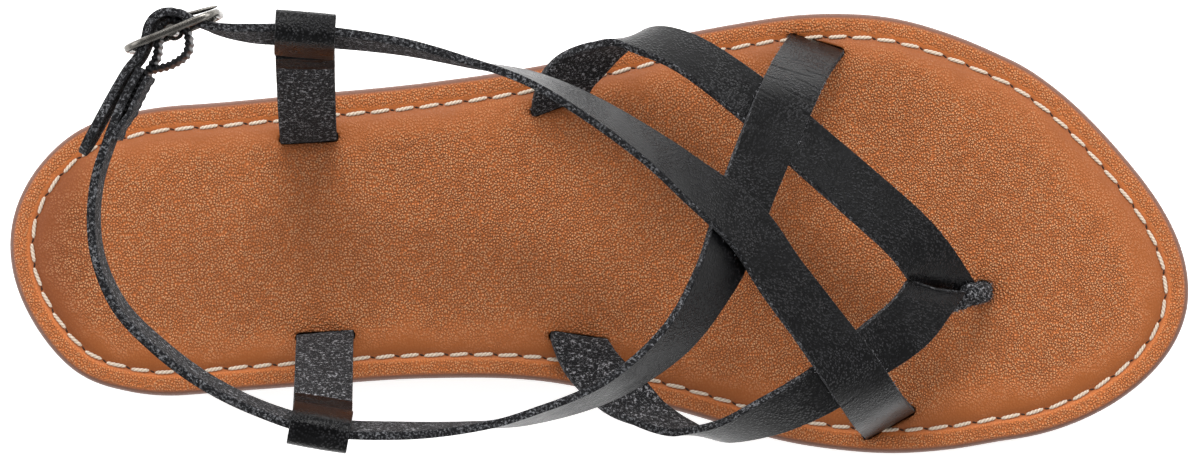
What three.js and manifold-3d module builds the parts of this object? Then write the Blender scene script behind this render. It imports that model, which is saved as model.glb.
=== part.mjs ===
// Left strappy sandal: moulded sole, padded footbed, crossed straps and a buckled ankle strap.
// Millimetres. +X runs to the toe, +Y to the outer side of the foot, +Z up.
// The origin is on the floor, at the middle of the heel's flat tread.
import * as THREE from "three";
import { mergeVertices } from "three/addons/utils/BufferGeometryUtils.js";
import Module from "manifold-3d";

const wasm = await Module();
wasm.setup();
const { lerp, clamp, smoothstep, degToRad, radToDeg } = THREE.MathUtils;

// Driving dimensions of the last and the sole
const SOLE_LENGTH = 250;
const BALL_WIDTH = 94;
const HEEL_HEIGHT = 14;
const FOREFOOT_THICKNESS = 6.5;
const ARCH_LIFT = 6;
const TOE_SPRING = 6;
const INSTEP_HEIGHT = 50;
const SIDE_SETBACK = 0.6;
const SIDE_ROUNDING = 1.2;

// Driving dimensions of the footbed
const FOOTBED_THICKNESS = 4;
const FOOTBED_CROWN = 1;
const SIDE_ROLL = 1;
const TIP_ROLL = 2.6;
const STITCH_INSET = 5;
const PAD_SLOPE = 6;
const SHOULDER_RISE = 0.8;
const BASE_SETBACK = 0.6;

// Driving dimensions of the straps and tabs
const STRAP_WIDTH = 12;
const STRAP_THICKNESS = 1.7;
const STRAP_PRESS = 0.25;
const TAB_WIDTH = 12;
const TAB_THICKNESS = 1.5;
const TAB_LAP = 6;
const POST_WIDTH = 5;
const POST_THICKNESS = 3.8;
const ELASTIC_WIDTH = 10;
const ELASTIC_THICKNESS = 1.5;
const ELASTIC_TAIL = 9;
const PATCH_LENGTH = 13.5;
const PATCH_SETBACK = 2.5;
const PATCH_THICKNESS = 1;
const CUT_CORNER = 0.3;

// Driving dimensions of the buckle
const BUCKLE_LENGTH = 20.4;
const BUCKLE_BAND = 1.4;
const BUCKLE_DEPTH = 1.3;
const BUCKLE_CORNER = 4;
const BUCKLE_TURN = 22;
const BUCKLE_EASE = 0.25;
const BAR_RADIUS = 0.8;
const PRONG_RADIUS = 0.45;
const COIL_WALL = 0.7;

// Clearances
const GAP = 0.3;
const SLOT_PLAY = 0.6;
const KEEPER_PLAY = 0.7;
const BUCKLE_PLAY = 0.8;
const ROOT_RISE = 1.6;

// Outline of the sole, from the heel's tip to the toe's. Axis is the place of the middle line, outer
// and inner are the half widths beside it before the ends are rounded, as shares of the ball width.
const OUTLINE = [
  { along: 0.0, axis: 0.01, outer: 0.33, inner: 0.33 },
  { along: 0.05, axis: 0.0, outer: 0.343, inner: 0.351 },
  { along: 0.1, axis: 0.0, outer: 0.328, inner: 0.338 },
  { along: 0.15, axis: 0.0, outer: 0.328, inner: 0.327 },
  { along: 0.25, axis: 0.0, outer: 0.351, inner: 0.307 },
  { along: 0.35, axis: 0.0, outer: 0.377, inner: 0.29 },
  { along: 0.45, axis: 0.0, outer: 0.418, inner: 0.297 },
  { along: 0.55, axis: 0.0, outer: 0.48, inner: 0.354 },
  { along: 0.65, axis: -0.01, outer: 0.538, inner: 0.42 },
  { along: 0.7, axis: -0.02, outer: 0.557, inner: 0.433 },
  { along: 0.75, axis: -0.03, outer: 0.557, inner: 0.432 },
  { along: 0.8, axis: -0.045, outer: 0.535, inner: 0.408 },
  { along: 0.85, axis: -0.06, outer: 0.493, inner: 0.371 },
  { along: 0.9, axis: -0.073, outer: 0.439, inner: 0.344 },
  { along: 0.95, axis: -0.084, outer: 0.38, inner: 0.322 },
  { along: 1.0, axis: -0.093, outer: 0.335, inner: 0.302 },
];
const ROUND_END = 0.15;

// Places along the sole's side view, as shares of its length
const HEEL_CENTRE = 0.14;
const ANKLE_CENTRE = 0.26;
const BREAST_EDGE = 0.272;
const BREAST_FOOT = 0.286;
const FALL_START = 0.28;
const FALL_END = 0.6;
const TREAD_START = 0.58;
const SPRING_START = 0.76;

// The straps' rows run from slot to end. Along is a share of the sole's length, across of the ball
// width, up of the instep height over the footbed, and over counts the straps that lie underneath.
// Swing is the plan direction in which the lower edge lies, and dip how far that edge is turned
// down, both in degrees.
const OUTER_THONG = [
  { along: 0.465, across: 0.333, up: 0.0, over: 0, swing: 20, dip: 0 },
  { along: 0.476, across: 0.393, up: 0.18, over: 0, swing: 7, dip: 0 },
  { along: 0.509, across: 0.452, up: 0.32, over: 0, swing: 8, dip: 34 },
  { along: 0.532, across: 0.468, up: 0.38, over: 0, swing: 21, dip: 38 },
  { along: 0.568, across: 0.442, up: 0.45, over: 0, swing: 42, dip: 45 },
  { along: 0.632, across: 0.322, up: 0.52, over: 0, swing: 48, dip: 37 },
  { along: 0.672, across: 0.227, up: 0.55, over: 0, swing: 50, dip: 30 },
  { along: 0.714, across: 0.131, up: 0.52, over: 0, swing: 47, dip: 27 },
  { along: 0.756, across: 0.032, up: 0.45, over: 0, swing: 38, dip: 16 },
  { along: 0.782, across: -0.043, up: 0.37, over: 0, swing: 12, dip: 8 },
  { along: 0.788, across: -0.073, up: 0.24, over: 0, swing: -3, dip: 0 },
];
const INNER_THONG = [
  { along: 0.482, across: -0.203, up: 0.0, over: 0, swing: -8, dip: 0 },
  { along: 0.494, across: -0.259, up: 0.16, over: 0, swing: 4, dip: 0 },
  { along: 0.517, across: -0.317, up: 0.3, over: 0, swing: 12, dip: 12 },
  { along: 0.541, across: -0.362, up: 0.38, over: 0, swing: 12, dip: 44 },
  { along: 0.57, across: -0.396, up: 0.44, over: 0, swing: 5, dip: 58 },
  { along: 0.6, across: -0.402, up: 0.5, over: 0, swing: -45, dip: 66 },
  { along: 0.643, across: -0.362, up: 0.56, over: 0, swing: -55, dip: 47 },
  { along: 0.686, across: -0.301, up: 0.59, over: 0, swing: -58, dip: 35 },
  { along: 0.726, across: -0.221, up: 0.54, over: 0, swing: -53, dip: 26 },
  { along: 0.758, across: -0.158, up: 0.46, over: 0, swing: -45, dip: 15 },
  { along: 0.782, across: -0.099, up: 0.37, over: 0, swing: -20, dip: 8 },
  { along: 0.788, across: -0.075, up: 0.24, over: 0, swing: -3, dip: 0 },
];
const HEEL_STRAP = [
  { along: 0.684, across: 0.463, up: 0.0, over: 0, swing: -16, dip: 0 },
  { along: 0.669, across: 0.408, up: 0.27, over: 0, swing: -10, dip: 5 },
  { along: 0.654, across: 0.332, up: 0.475, over: 1, swing: -12, dip: 14 },
  { along: 0.637, across: 0.231, up: 0.605, over: 1, swing: -16, dip: 22 },
  { along: 0.622, across: 0.133, up: 0.7, over: 1, swing: -20, dip: 26 },
  { along: 0.611, across: 0.049, up: 0.77, over: 1, swing: -23, dip: 31 },
  { along: 0.593, across: -0.063, up: 0.86, over: 1, swing: -30, dip: 45 },
  { along: 0.562, across: -0.187, up: 0.93, over: 0, swing: -40, dip: 57 },
  { along: 0.508, across: -0.296, up: 0.96, over: 0, swing: -60, dip: 71 },
  { along: 0.445, across: -0.355, up: 0.98, over: 0, swing: -72, dip: 80 },
  { along: 0.398, across: -0.375, up: 1.0, over: 0, swing: -79, dip: 91 },
  { along: 0.34, across: -0.383, up: 1.02, over: 0, swing: -87, dip: 98 },
  { along: 0.276, across: -0.374, up: 1.03, over: 0, swing: -97, dip: 98 },
  { along: 0.228, across: -0.335, up: 1.05, over: 0, swing: -112, dip: 96 },
  { along: 0.185, across: -0.277, up: 1.08, over: 0, swing: -125, dip: 96 },
  { along: 0.148, across: -0.203, up: 1.1, over: 0, swing: -137, dip: 96 },
  { along: 0.118, across: -0.12, up: 1.12, over: 0, swing: -150, dip: 94 },
  { along: 0.1015, across: -0.023, up: 1.14, over: 0, swing: -168, dip: 91 },
  { along: 0.097, across: 0.062, up: 1.14, over: 0, swing: -180, dip: 90 },
  { along: 0.1, across: 0.151, up: 1.14, over: 0, swing: -192, dip: 90 },
  { along: 0.109, across: 0.229, up: 1.14, over: 0, swing: -203, dip: 90 },
  { along: 0.12, across: 0.303, up: 1.14, over: 0, swing: -207, dip: 90 },
  { along: 0.131, across: 0.362, up: 1.14, over: 0, swing: -207, dip: 90 },
  { along: 0.1365, across: 0.386, up: 1.14, over: 0, swing: -207, dip: 90 },
];
const BUCKLE_STRAP = [
  { along: 0.746, across: -0.391, up: 0.0, over: 0, swing: 29, dip: 0 },
  { along: 0.729, across: -0.339, up: 0.34, over: 0, swing: 26, dip: 2 },
  { along: 0.709, across: -0.271, up: 0.56, over: 1, swing: 30, dip: 14 },
  { along: 0.675, across: -0.149, up: 0.67, over: 1, swing: 38, dip: 28 },
  { along: 0.648, across: -0.055, up: 0.71, over: 2, swing: 38, dip: 32 },
  { along: 0.621, across: 0.049, up: 0.752, over: 2, swing: 38, dip: 36 },
  { along: 0.576, across: 0.15, up: 0.875, over: 1, swing: 49, dip: 50 },
  { along: 0.543, across: 0.219, up: 0.95, over: 0, swing: 52, dip: 60 },
  { along: 0.494, across: 0.304, up: 0.98, over: 0, swing: 57, dip: 69 },
  { along: 0.445, across: 0.368, up: 1.0, over: 0, swing: 66, dip: 80 },
  { along: 0.398, across: 0.401, up: 1.01, over: 0, swing: 73, dip: 91 },
  { along: 0.34, across: 0.437, up: 1.02, over: 0, swing: 80, dip: 98 },
  { along: 0.264, across: 0.46, up: 1.04, over: 0, swing: 87, dip: 102 },
  { along: 0.221, across: 0.464, up: 1.1, over: 0, swing: 93, dip: 99 },
  { along: 0.192, across: 0.475, up: 1.14, over: 0, swing: 103, dip: 92 },
  { along: 0.178, across: 0.487, up: 1.14, over: 0, swing: 112, dip: 90 },
  { along: 0.167, across: 0.503, up: 1.14, over: 0, swing: 112, dip: 90 },
  { along: 0.155, across: 0.505, up: 1.14, over: 0, swing: 112, dip: 90 },
  { along: 0.147, across: 0.494, up: 1.14, over: 0, swing: 130, dip: 90 },
  { along: 0.142, across: 0.474, up: 1.14, over: 0, swing: 140, dip: 90 },
  { along: 0.14, across: 0.45, up: 1.14, over: 0, swing: 150, dip: 90 },
  { along: 0.135, across: 0.416, up: 1.14, over: 0, swing: 150, dip: 90 },
  { along: 0.125, across: 0.381, up: 1.14, over: 0, swing: 150, dip: 90 },
  { along: 0.112, across: 0.322, up: 1.14, over: 0, swing: 150, dip: 90 },
  { along: 0.1, across: 0.263, up: 1.14, over: 0, swing: 150, dip: 90 },
  { along: 0.088, across: 0.206, up: 1.14, over: 0, swing: 150, dip: 90 },
];
const TAB_ROW = 12;
const BAR_ROW = 17;

// The toe post, from its hole to the crease of the two thongs, in the straps' columns
const TOE_POST = [
  { along: 0.826, across: -0.092, up: 0.0, over: 0, swing: 90, dip: 0 },
  { along: 0.825, across: -0.091, up: 0.08, over: 0, swing: 90, dip: 0 },
  { along: 0.818, across: -0.087, up: 0.17, over: 0, swing: 90, dip: 0 },
  { along: 0.803, across: -0.08, up: 0.22, over: 0, swing: 90, dip: 0 },
];

// The slots of the two tabs, in the straps' columns
const OUTER_SLOT = { along: 0.254, across: 0.239, up: 0.0, over: 0, swing: 3, dip: 0 };
const INNER_SLOT = { along: 0.268, across: -0.194, up: 0.0, over: 0, swing: 3, dip: 0 };

// The elastic's way round the bar: turn is the place round it, in degrees, and off the distance past
// the closest that the elastic can lie, as a share of the buckle's length.
const ELASTIC_LOOP = [
  { turn: 214, off: 0.21 },
  { turn: 193, off: 0.09 },
  { turn: 145, off: 0.02 },
  { turn: 80, off: 0.005 },
  { turn: 21, off: 0.02 },
  { turn: -27, off: 0.04 },
  { turn: -61, off: 0.1 },
  { turn: -83, off: 0.16 },
  { turn: -115, off: 0.23 },
];

// The prong's way between its coil and its tip: reach as a share of the way to the far rail, and the
// clearances that it lifts.
const PRONG_WAY = [
  { reach: 0.14, lift: 0 },
  { reach: 0.35, lift: 1 },
  { reach: 0.6, lift: 0 },
];

// The footbed's rolled edge, from below: up as a share of its thickness, and how much of the roll is
// gone in there.
const EDGE_ROLL = [
  { up: 0.3, gone: 0 },
  { up: 0.6, gone: 0.1 },
  { up: 0.88, gone: 0.4 },
  { up: 1, gone: 1 },
];

// The outsole's side, from below: roll is the share of the rounding that is gone in at each level
const SIDE_ROUND = [
  { from: "tread", up: 0, roll: 1 },
  { from: "tread", up: 1, roll: 0.25 },
  { from: "seat", up: -1, roll: 0 },
  { from: "seat", up: 0, roll: 0.4 },
];

// Fineness of the facets
const STATIONS = 32;
const CLOSEST_STATIONS = 0.01;
const ACROSS = 8;
const STEPS_PER_ROW = 3;
const ROD_SIDES = 10;

const lengthAt = (along) => (along - HEEL_CENTRE) * SOLE_LENGTH;
const shareAt = (x) => x / SOLE_LENGTH + HEEL_CENTRE;

// A smooth curve through one column of a table, at a place along the sole.
function column(rows, name, along) {
  const found = rows.findIndex((row) => row.along >= along);
  const i = found < 0 ? rows.length - 1 : Math.max(found, 1);
  const [a, b] = [rows[i - 1], rows[i]];
  const slope = (p, q) => (q[name] - p[name]) / (q.along - p.along);
  const run = b.along - a.along;
  const t = clamp((along - a.along) / run, 0, 1);
  const leaving = slope(rows[i - 2] ?? a, b) * run * t * (1 - t) ** 2;
  const arriving = slope(a, rows[i + 1] ?? b) * run * t ** 2 * (1 - t);
  return lerp(a[name], b[name], smoothstep(t, 0, 1)) + leaving - arriving;
}

// Heights of the sole's side view: the toe's spring, the tread, and the seat that holds the footbed.
function springAt(along) {
  return TOE_SPRING * Math.max(0, (along - SPRING_START) / (1 - SPRING_START)) ** 2;
}

function treadAt(along) {
  const breast = clamp((along - BREAST_EDGE) / (BREAST_FOOT - BREAST_EDGE), 0, 1);
  const waist = 1 - smoothstep(along, BREAST_FOOT, TREAD_START);
  return ARCH_LIFT * breast * waist + springAt(along);
}

function seatAt(along) {
  const fall = smoothstep(along, FALL_START, FALL_END);
  return lerp(HEEL_HEIGHT, FOREFOOT_THICKNESS, fall) + springAt(along);
}

const footbedTopAt = (along) => seatAt(along) + GAP + FOOTBED_THICKNESS + FOOTBED_CROWN;

// One point of the sole's plan edge, on the outer side (1) or the inner side (-1).
function edgePoint(along, side) {
  const fromTip = Math.min(1, Math.min(along, 1 - along) / ROUND_END);
  const rounding = Math.sqrt(1 - (1 - fromTip) ** 2);
  const half = column(OUTLINE, side > 0 ? "outer" : "inner", along) * rounding;
  const across = column(OUTLINE, "axis", along) + side * half;
  return new THREE.Vector2(lengthAt(along), across * BALL_WIDTH);
}

// The plan outline, anticlockwise from the heel's tip, with the outward direction at each point.
function makeOutline() {
  const breast = [BREAST_EDGE, BREAST_FOOT];
  const even = Array.from({ length: STATIONS - 1 }, (_, i) => i + 1)
    .map((i) => (1 - Math.cos((Math.PI * i) / STATIONS)) / 2)
    .filter((along) => breast.every((place) => Math.abs(place - along) > CLOSEST_STATIONS));
  const alongs = [...even, ...breast].sort((a, b) => a - b);
  const places = [
    edgePoint(0, 1),
    ...alongs.map((along) => edgePoint(along, -1)),
    edgePoint(1, 1),
    ...alongs.reverse().map((along) => edgePoint(along, 1)),
  ];
  return places.map((place, i) => {
    const run = places[(i + 1) % places.length].clone().sub(places.at(i - 1)).normalize();
    return { place, outward: new THREE.Vector2(run.y, -run.x) };
  });
}
const outline = makeOutline();

function geometryOf(points, faces) {
  const geometry = new THREE.BufferGeometry().setFromPoints(points);
  geometry.setIndex(faces.flat());
  return geometry;
}

const quad = (a, b, c, d) => [[a, b, c], [a, c, d]];

// The top or bottom face of a plate: rows across the sole between the two sides of one ring.
function plateFace(points, first, dome, isTop) {
  const rowAt = (i) => {
    const inner = first + i;
    const outer = first + outline.length - i;
    const between = Array.from({ length: ACROSS - 1 }, (_, j) => {
      const share = (j + 1) / ACROSS;
      const point = points[inner].clone().lerp(points[outer], share);
      point.z += dome * 4 * share * (1 - share);
      return points.push(point) - 1;
    });
    return [inner, ...between, outer];
  };
  const count = outline.length / 2 - 1;
  const rows = Array.from({ length: count }, (_, i) => rowAt(i + 1));
  const toeTip = first + count + 1;
  const faces = [];
  for (let j = 0; j < ACROSS; j++) {
    faces.push([first, rows[0][j], rows[0][j + 1]]);
    faces.push([rows[count - 1][j], toeTip, rows[count - 1][j + 1]]);
    for (let i = 1; i < count; i++) {
      faces.push(...quad(rows[i - 1][j], rows[i][j], rows[i][j + 1], rows[i - 1][j + 1]));
    }
  }
  return isTop ? faces : faces.map(([a, b, c]) => [a, c, b]);
}

// A plate of the sole's outline. Each level is a ring with its inset from the edge and its height.
function plate(levels, dome) {
  const points = levels.flatMap(({ inset, height }) =>
    outline.map(({ place, outward }) => {
      const spot = place.clone().addScaledVector(outward, -inset(outward));
      return new THREE.Vector3(spot.x, spot.y, height(shareAt(spot.x)));
    }),
  );
  const ring = outline.length;
  const faces = [];
  for (let first = 0; first < (levels.length - 1) * ring; first += ring) {
    for (let k = 0; k < ring; k++) {
      const next = (k + 1) % ring;
      faces.push(...quad(first + k, first + next, first + ring + next, first + ring + k));
    }
  }
  faces.push(...plateFace(points, 0, 0, false));
  faces.push(...plateFace(points, (levels.length - 1) * ring, dome, true));
  return geometryOf(points, faces);
}

// A tube of any section: rings of points joined in order, closed by a fan at each end.
function loft(rings) {
  const sides = rings[0].length;
  const points = rings.flat();
  const faces = [];
  for (let first = 0; first < (rings.length - 1) * sides; first += sides) {
    for (let k = 0; k < sides; k++) {
      const next = (k + 1) % sides;
      faces.push(...quad(first + k, first + next, first + sides + next, first + sides + k));
    }
  }
  const last = points.length - sides;
  for (let k = 1; k < sides - 1; k++) {
    faces.push([0, k + 1, k], [last, last + k, last + k + 1]);
  }
  return geometryOf(points, faces);
}

// A strap's path. Its frames hold the place, the way along it, the way to its lower edge, its face,
// and which way along the face leads out of the foot.
function strapCurve(rows) {
  const places = new THREE.CatmullRomCurve3(rows.map((row) => row.place));
  const turns = new THREE.CatmullRomCurve3(
    rows.map((row) => new THREE.Vector3(degToRad(row.swing), degToRad(row.dip), 0)),
  );
  const ankle = new THREE.Vector3(lengthAt(ANKLE_CENTRE), 0, 0);
  const at = (t) => {
    const place = places.getPoint(t);
    const run = places.getTangent(t);
    const [swing, dip] = turns.getPoint(t).toArray();
    const level = new THREE.Vector3(Math.cos(swing), Math.sin(swing), 0);
    const down = level.multiplyScalar(Math.cos(dip)).setZ(-Math.sin(dip));
    down.addScaledVector(run, -down.dot(run)).normalize();
    const face = run.clone().cross(down);
    const side = Math.sign(place.clone().sub(ankle).setZ(0).dot(face));
    const outward = face.clone().multiplyScalar(side);
    return { place, run, down, face, outward, swing: radToDeg(swing), dip: radToDeg(dip) };
  };
  const fromEnd = (distance) => at(places.getUtoTmapping(0, places.getLength() - distance));
  return { at, fromEnd };
}

// A flat strip with its corners cut, along its rows.
function strip(rows, width, thickness) {
  const curve = strapCurve(rows);
  const [w, t] = [width / 2, thickness / 2];
  const corners = [
    [w - CUT_CORNER, t],
    [-w + CUT_CORNER, t],
    [-w, t - CUT_CORNER],
    [-w, -t + CUT_CORNER],
    [-w + CUT_CORNER, -t],
    [w - CUT_CORNER, -t],
    [w, -t + CUT_CORNER],
    [w, t - CUT_CORNER],
  ];
  const steps = (rows.length - 1) * STEPS_PER_ROW;
  const rings = Array.from({ length: steps + 1 }, (_, i) => {
    const { place, down, face } = curve.at(i / steps);
    return corners.map(([a, b]) => place.clone().addScaledVector(down, a).addScaledVector(face, b));
  });
  return loft(rings);
}

// A round rod along a smooth curve through its points.
function rod(points, radius) {
  const curve = new THREE.CatmullRomCurve3(points);
  const steps = (points.length - 1) * STEPS_PER_ROW;
  const up = new THREE.Vector3(0, 0, 1);
  const rings = Array.from({ length: steps + 1 }, (_, i) => {
    const centre = curve.getPoint(i / steps);
    const side = curve.getTangent(i / steps).cross(up).normalize();
    return Array.from({ length: ROD_SIDES }, (_, k) => {
      const angle = (-2 * Math.PI * k) / ROD_SIDES;
      const point = centre.clone().addScaledVector(side, Math.cos(angle) * radius);
      return point.addScaledVector(up, Math.sin(angle) * radius);
    });
  });
  return loft(rings);
}

function solidOf(geometry) {
  const plain = geometry.clone();
  plain.deleteAttribute("normal");
  plain.deleteAttribute("uv");
  const merged = mergeVertices(plain);
  return new wasm.Manifold(
    new wasm.Mesh({
      numProp: 3,
      vertProperties: new Float32Array(merged.getAttribute("position").array),
      triVerts: new Uint32Array(merged.index.array),
    }),
  );
}

const addAll = (solids) => solids.reduce((all, next) => all.add(next));

// Shapes joined into one solid, with the pockets that pressed strips seal between them filled.
function join(geometries) {
  const shells = addAll(geometries.map(solidOf)).decompose();
  return addAll(shells.filter((shell) => shell.volume() > 0));
}

const cutAway = (solid, cutters) => cutters.map(solidOf).reduce((left, next) => left.subtract(next), solid);

function meshOf(name, solid, material) {
  const { vertProperties, triVerts } = solid.getMesh();
  const geometry = new THREE.BufferGeometry();
  geometry.setAttribute("position", new THREE.BufferAttribute(vertProperties, 3));
  geometry.setIndex(new THREE.BufferAttribute(triVerts, 1));
  const mesh = new THREE.Mesh(geometry, material);
  mesh.name = name;
  return mesh;
}

// A table row with its real place.
function placed(row) {
  const height = footbedTopAt(row.along) + row.up * INSTEP_HEIGHT;
  const lift = row.over * (STRAP_THICKNESS - STRAP_PRESS);
  const place = new THREE.Vector3(lengthAt(row.along), row.across * BALL_WIDTH, height + lift);
  return { ...row, place };
}

// Rows that start with a root in the slot, just above the sole.
function rooted(rows) {
  const first = rows[0];
  const root = first.place.clone().setZ(seatAt(first.along) + ROOT_RISE);
  return [{ ...first, place: root }, ...rows];
}

// A strap's slot through the footbed.
function slotCutter(row, width, thickness) {
  const play = 2 * SLOT_PLAY;
  const deep = FOOTBED_THICKNESS + FOOTBED_CROWN + HEEL_HEIGHT;
  const box = new THREE.BoxGeometry(width + play, thickness + play, deep);
  const { place, swing } = placed(row);
  return box.rotateZ(degToRad(swing)).translate(place.x, place.y, place.z);
}

const thongs = [OUTER_THONG, INNER_THONG].map((rows) => rooted(rows.map(placed)));
const heelStrapRows = rooted(HEEL_STRAP.map(placed));
const buckleStrapRows = rooted(BUCKLE_STRAP.map(placed));
const postRows = rooted(TOE_POST.map(placed));

// A folded tab: it rises outside the strap, turns over its top, and its end is glued to its inner face.
function makeKeeper(strapRows, slot) {
  const frame = strapCurve(strapRows).at((TAB_ROW + 1) / (strapRows.length - 1));
  const { place, down, run, outward } = frame;
  const toToe = run.clone().multiplyScalar(Math.sign(run.x));
  const swing = radToDeg(Math.atan2(toToe.y, toToe.x));
  const dip = radToDeg(Math.asin(-toToe.z));
  const half = STRAP_WIDTH / 2 + KEEPER_PLAY;
  const off = STRAP_THICKNESS / 2 + KEEPER_PLAY + TAB_THICKNESS / 2;
  const at = (out, below) => place.clone().addScaledVector(outward, out).addScaledVector(down, below);
  const row = (point) => ({ place: point, swing, dip });
  const foot = placed(slot);
  const waist = at(TAB_THICKNESS / 2, half + 2 * TAB_THICKNESS);
  const toFoot = foot.place.clone().sub(waist).normalize();
  const inward = run.clone().cross(toFoot).normalize();
  inward.multiplyScalar(-Math.sign(inward.dot(outward)) * (TAB_THICKNESS - STRAP_PRESS));
  const lapEnd = waist.clone().addScaledVector(toFoot, TAB_LAP).add(inward);
  const top = [at(off, -half), at(0, -half - TAB_THICKNESS / 2), at(-off, -half)].map(row);
  const leg = [row(waist), row(at(off, half)), ...top.slice(0, 2)];
  const flap = [...top, row(at(-off, half)), row(waist.clone().add(inward)), row(lapEnd)];
  return join([
    strip([...rooted([foot]), ...leg], TAB_WIDTH, TAB_THICKNESS),
    strip(flap, TAB_WIDTH, TAB_THICKNESS),
  ]);
}

// The buckle's own frame: X along its length, Y outward, and Z along the bar, with the bar at 0.
function makeBuckleGroup() {
  const toBar = BAR_RADIUS + ELASTIC_THICKNESS + STRAP_THICKNESS / 2 + 3 * GAP;
  const turn = degToRad(BUCKLE_TURN);
  const group = new THREE.Group();
  group.position.copy(placed(BUCKLE_STRAP[BAR_ROW]).place);
  group.position.add(new THREE.Vector3(Math.sin(turn), -Math.cos(turn), 0).multiplyScalar(toBar));
  group.rotation.z = turn;
  group.updateMatrixWorld();
  return group;
}
const buckle = makeBuckleGroup();

function roundedOutline(length, height, corner) {
  const shape = new THREE.Shape();
  const [x, y] = [length / 2 - corner, height / 2 - corner];
  shape.absarc(x, y, corner, 0, Math.PI / 2);
  shape.absarc(-x, y, corner, Math.PI / 2, Math.PI);
  shape.absarc(-x, -y, corner, Math.PI, 1.5 * Math.PI);
  shape.absarc(x, -y, corner, 1.5 * Math.PI, 2 * Math.PI);
  return shape;
}

function makeBuckleFrame() {
  const height = STRAP_WIDTH + 2 * (BUCKLE_PLAY + BUCKLE_BAND);
  const ease = BUCKLE_EASE;
  const shape = roundedOutline(BUCKLE_LENGTH - 2 * ease, height - 2 * ease, BUCKLE_CORNER - ease);
  const wall = 2 * BUCKLE_BAND;
  const corner = BUCKLE_CORNER - BUCKLE_BAND;
  shape.holes.push(roundedOutline(BUCKLE_LENGTH - wall + 2 * ease, height - wall + 2 * ease, corner + ease));
  const flat = BUCKLE_DEPTH - 2 * ease;
  const bevel = { bevelSize: ease, bevelThickness: ease, bevelSegments: 1 };
  const frame = new THREE.ExtrudeGeometry(shape, { depth: flat, curveSegments: 4, ...bevel });
  frame.translate(0, 0, -flat / 2).rotateX(Math.PI / 2);
  const bar = new THREE.CylinderGeometry(BAR_RADIUS, BAR_RADIUS, height - BUCKLE_BAND, 2 * ROD_SIDES);
  return join([frame, bar.rotateX(Math.PI / 2)]);
}

// The prong's coil, and the coil's own clearance when grown by one.
function coil(growth) {
  const inside = BAR_RADIUS + GAP;
  const [low, high] = [-COIL_WALL - growth, COIL_WALL + growth];
  const outside = inside + COIL_WALL + growth;
  const profile = [[inside, low], [outside, low], [outside, high], [inside, high], [inside, low]];
  const ring = new THREE.LatheGeometry(profile.map(([r, y]) => new THREE.Vector2(r, y)), 2 * ROD_SIDES);
  return ring.rotateX(Math.PI / 2);
}

// The prong's shank, from its coil through the strap to the outer side of the far rail.
function shank(growth) {
  const start = BAR_RADIUS + GAP + PRONG_RADIUS;
  const rest = BUCKLE_DEPTH / 2 + GAP + PRONG_RADIUS;
  const bend = rest + PRONG_RADIUS;
  const toRail = (BUCKLE_LENGTH - BUCKLE_BAND) / 2;
  const between = PRONG_WAY.map(({ reach, lift }) => [reach * toRail, bend + lift * GAP]);
  const way = [[-growth, start], ...between, [toRail + PRONG_RADIUS, rest]];
  return rod(way.map(([x, y]) => new THREE.Vector3(x, y, 0)), PRONG_RADIUS + growth);
}

const inPlace = (geometry) => geometry.applyMatrix4(buckle.matrixWorld);

// Rows inside the heel strap's end: at a distance from it, over a length that stops a setback short.
function insideStrapEnd(distance, length, setback) {
  const curve = strapCurve(heelStrapRows);
  return Array.from({ length: STEPS_PER_ROW + 2 }, (_, i) => {
    const left = length * (1 - i / (STEPS_PER_ROW + 1));
    const { place, outward, swing, dip } = curve.fromEnd(setback + left);
    return { place: place.addScaledVector(outward, -distance), swing, dip };
  });
}

function makeElastic() {
  const distance = STRAP_THICKNESS / 2 + GAP + ELASTIC_THICKNESS / 2;
  const tail = insideStrapEnd(distance, ELASTIC_TAIL, 0);
  const { swing, dip } = tail.at(-1);
  const nearest = BAR_RADIUS + GAP + ELASTIC_THICKNESS / 2;
  const round = ELASTIC_LOOP.map(({ turn, off }) => {
    const radius = nearest + off * BUCKLE_LENGTH;
    const angle = degToRad(turn);
    const point = new THREE.Vector3(Math.cos(angle) * radius, Math.sin(angle) * radius, 0);
    return { place: buckle.localToWorld(point), swing, dip };
  });
  const size = [ELASTIC_WIDTH, ELASTIC_THICKNESS];
  const start = Math.floor(round.length / 2);
  const there = strip([...tail, ...round.slice(0, start + 1)], ...size);
  const back = strip([...tail.slice(-2), ...round.slice(start).reverse()], ...size);
  return cutAway(join([there, back]), [inPlace(coil(GAP)), inPlace(shank(GAP))]);
}

function makeElasticCover() {
  const distance = STRAP_THICKNESS / 2 + ELASTIC_THICKNESS + 2 * GAP + PATCH_THICKNESS / 2;
  const rows = insideStrapEnd(distance, PATCH_LENGTH, PATCH_SETBACK);
  return solidOf(strip(rows, STRAP_WIDTH, PATCH_THICKNESS));
}

function makeOutsole() {
  const heights = { tread: treadAt, seat: seatAt };
  const levels = SIDE_ROUND.map(({ from, up, roll }) => ({
    inset: () => SIDE_SETBACK + roll * SIDE_ROUNDING,
    height: (along) => heights[from](along) + up * SIDE_ROUNDING,
  }));
  return solidOf(plate(levels, 0));
}

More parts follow.
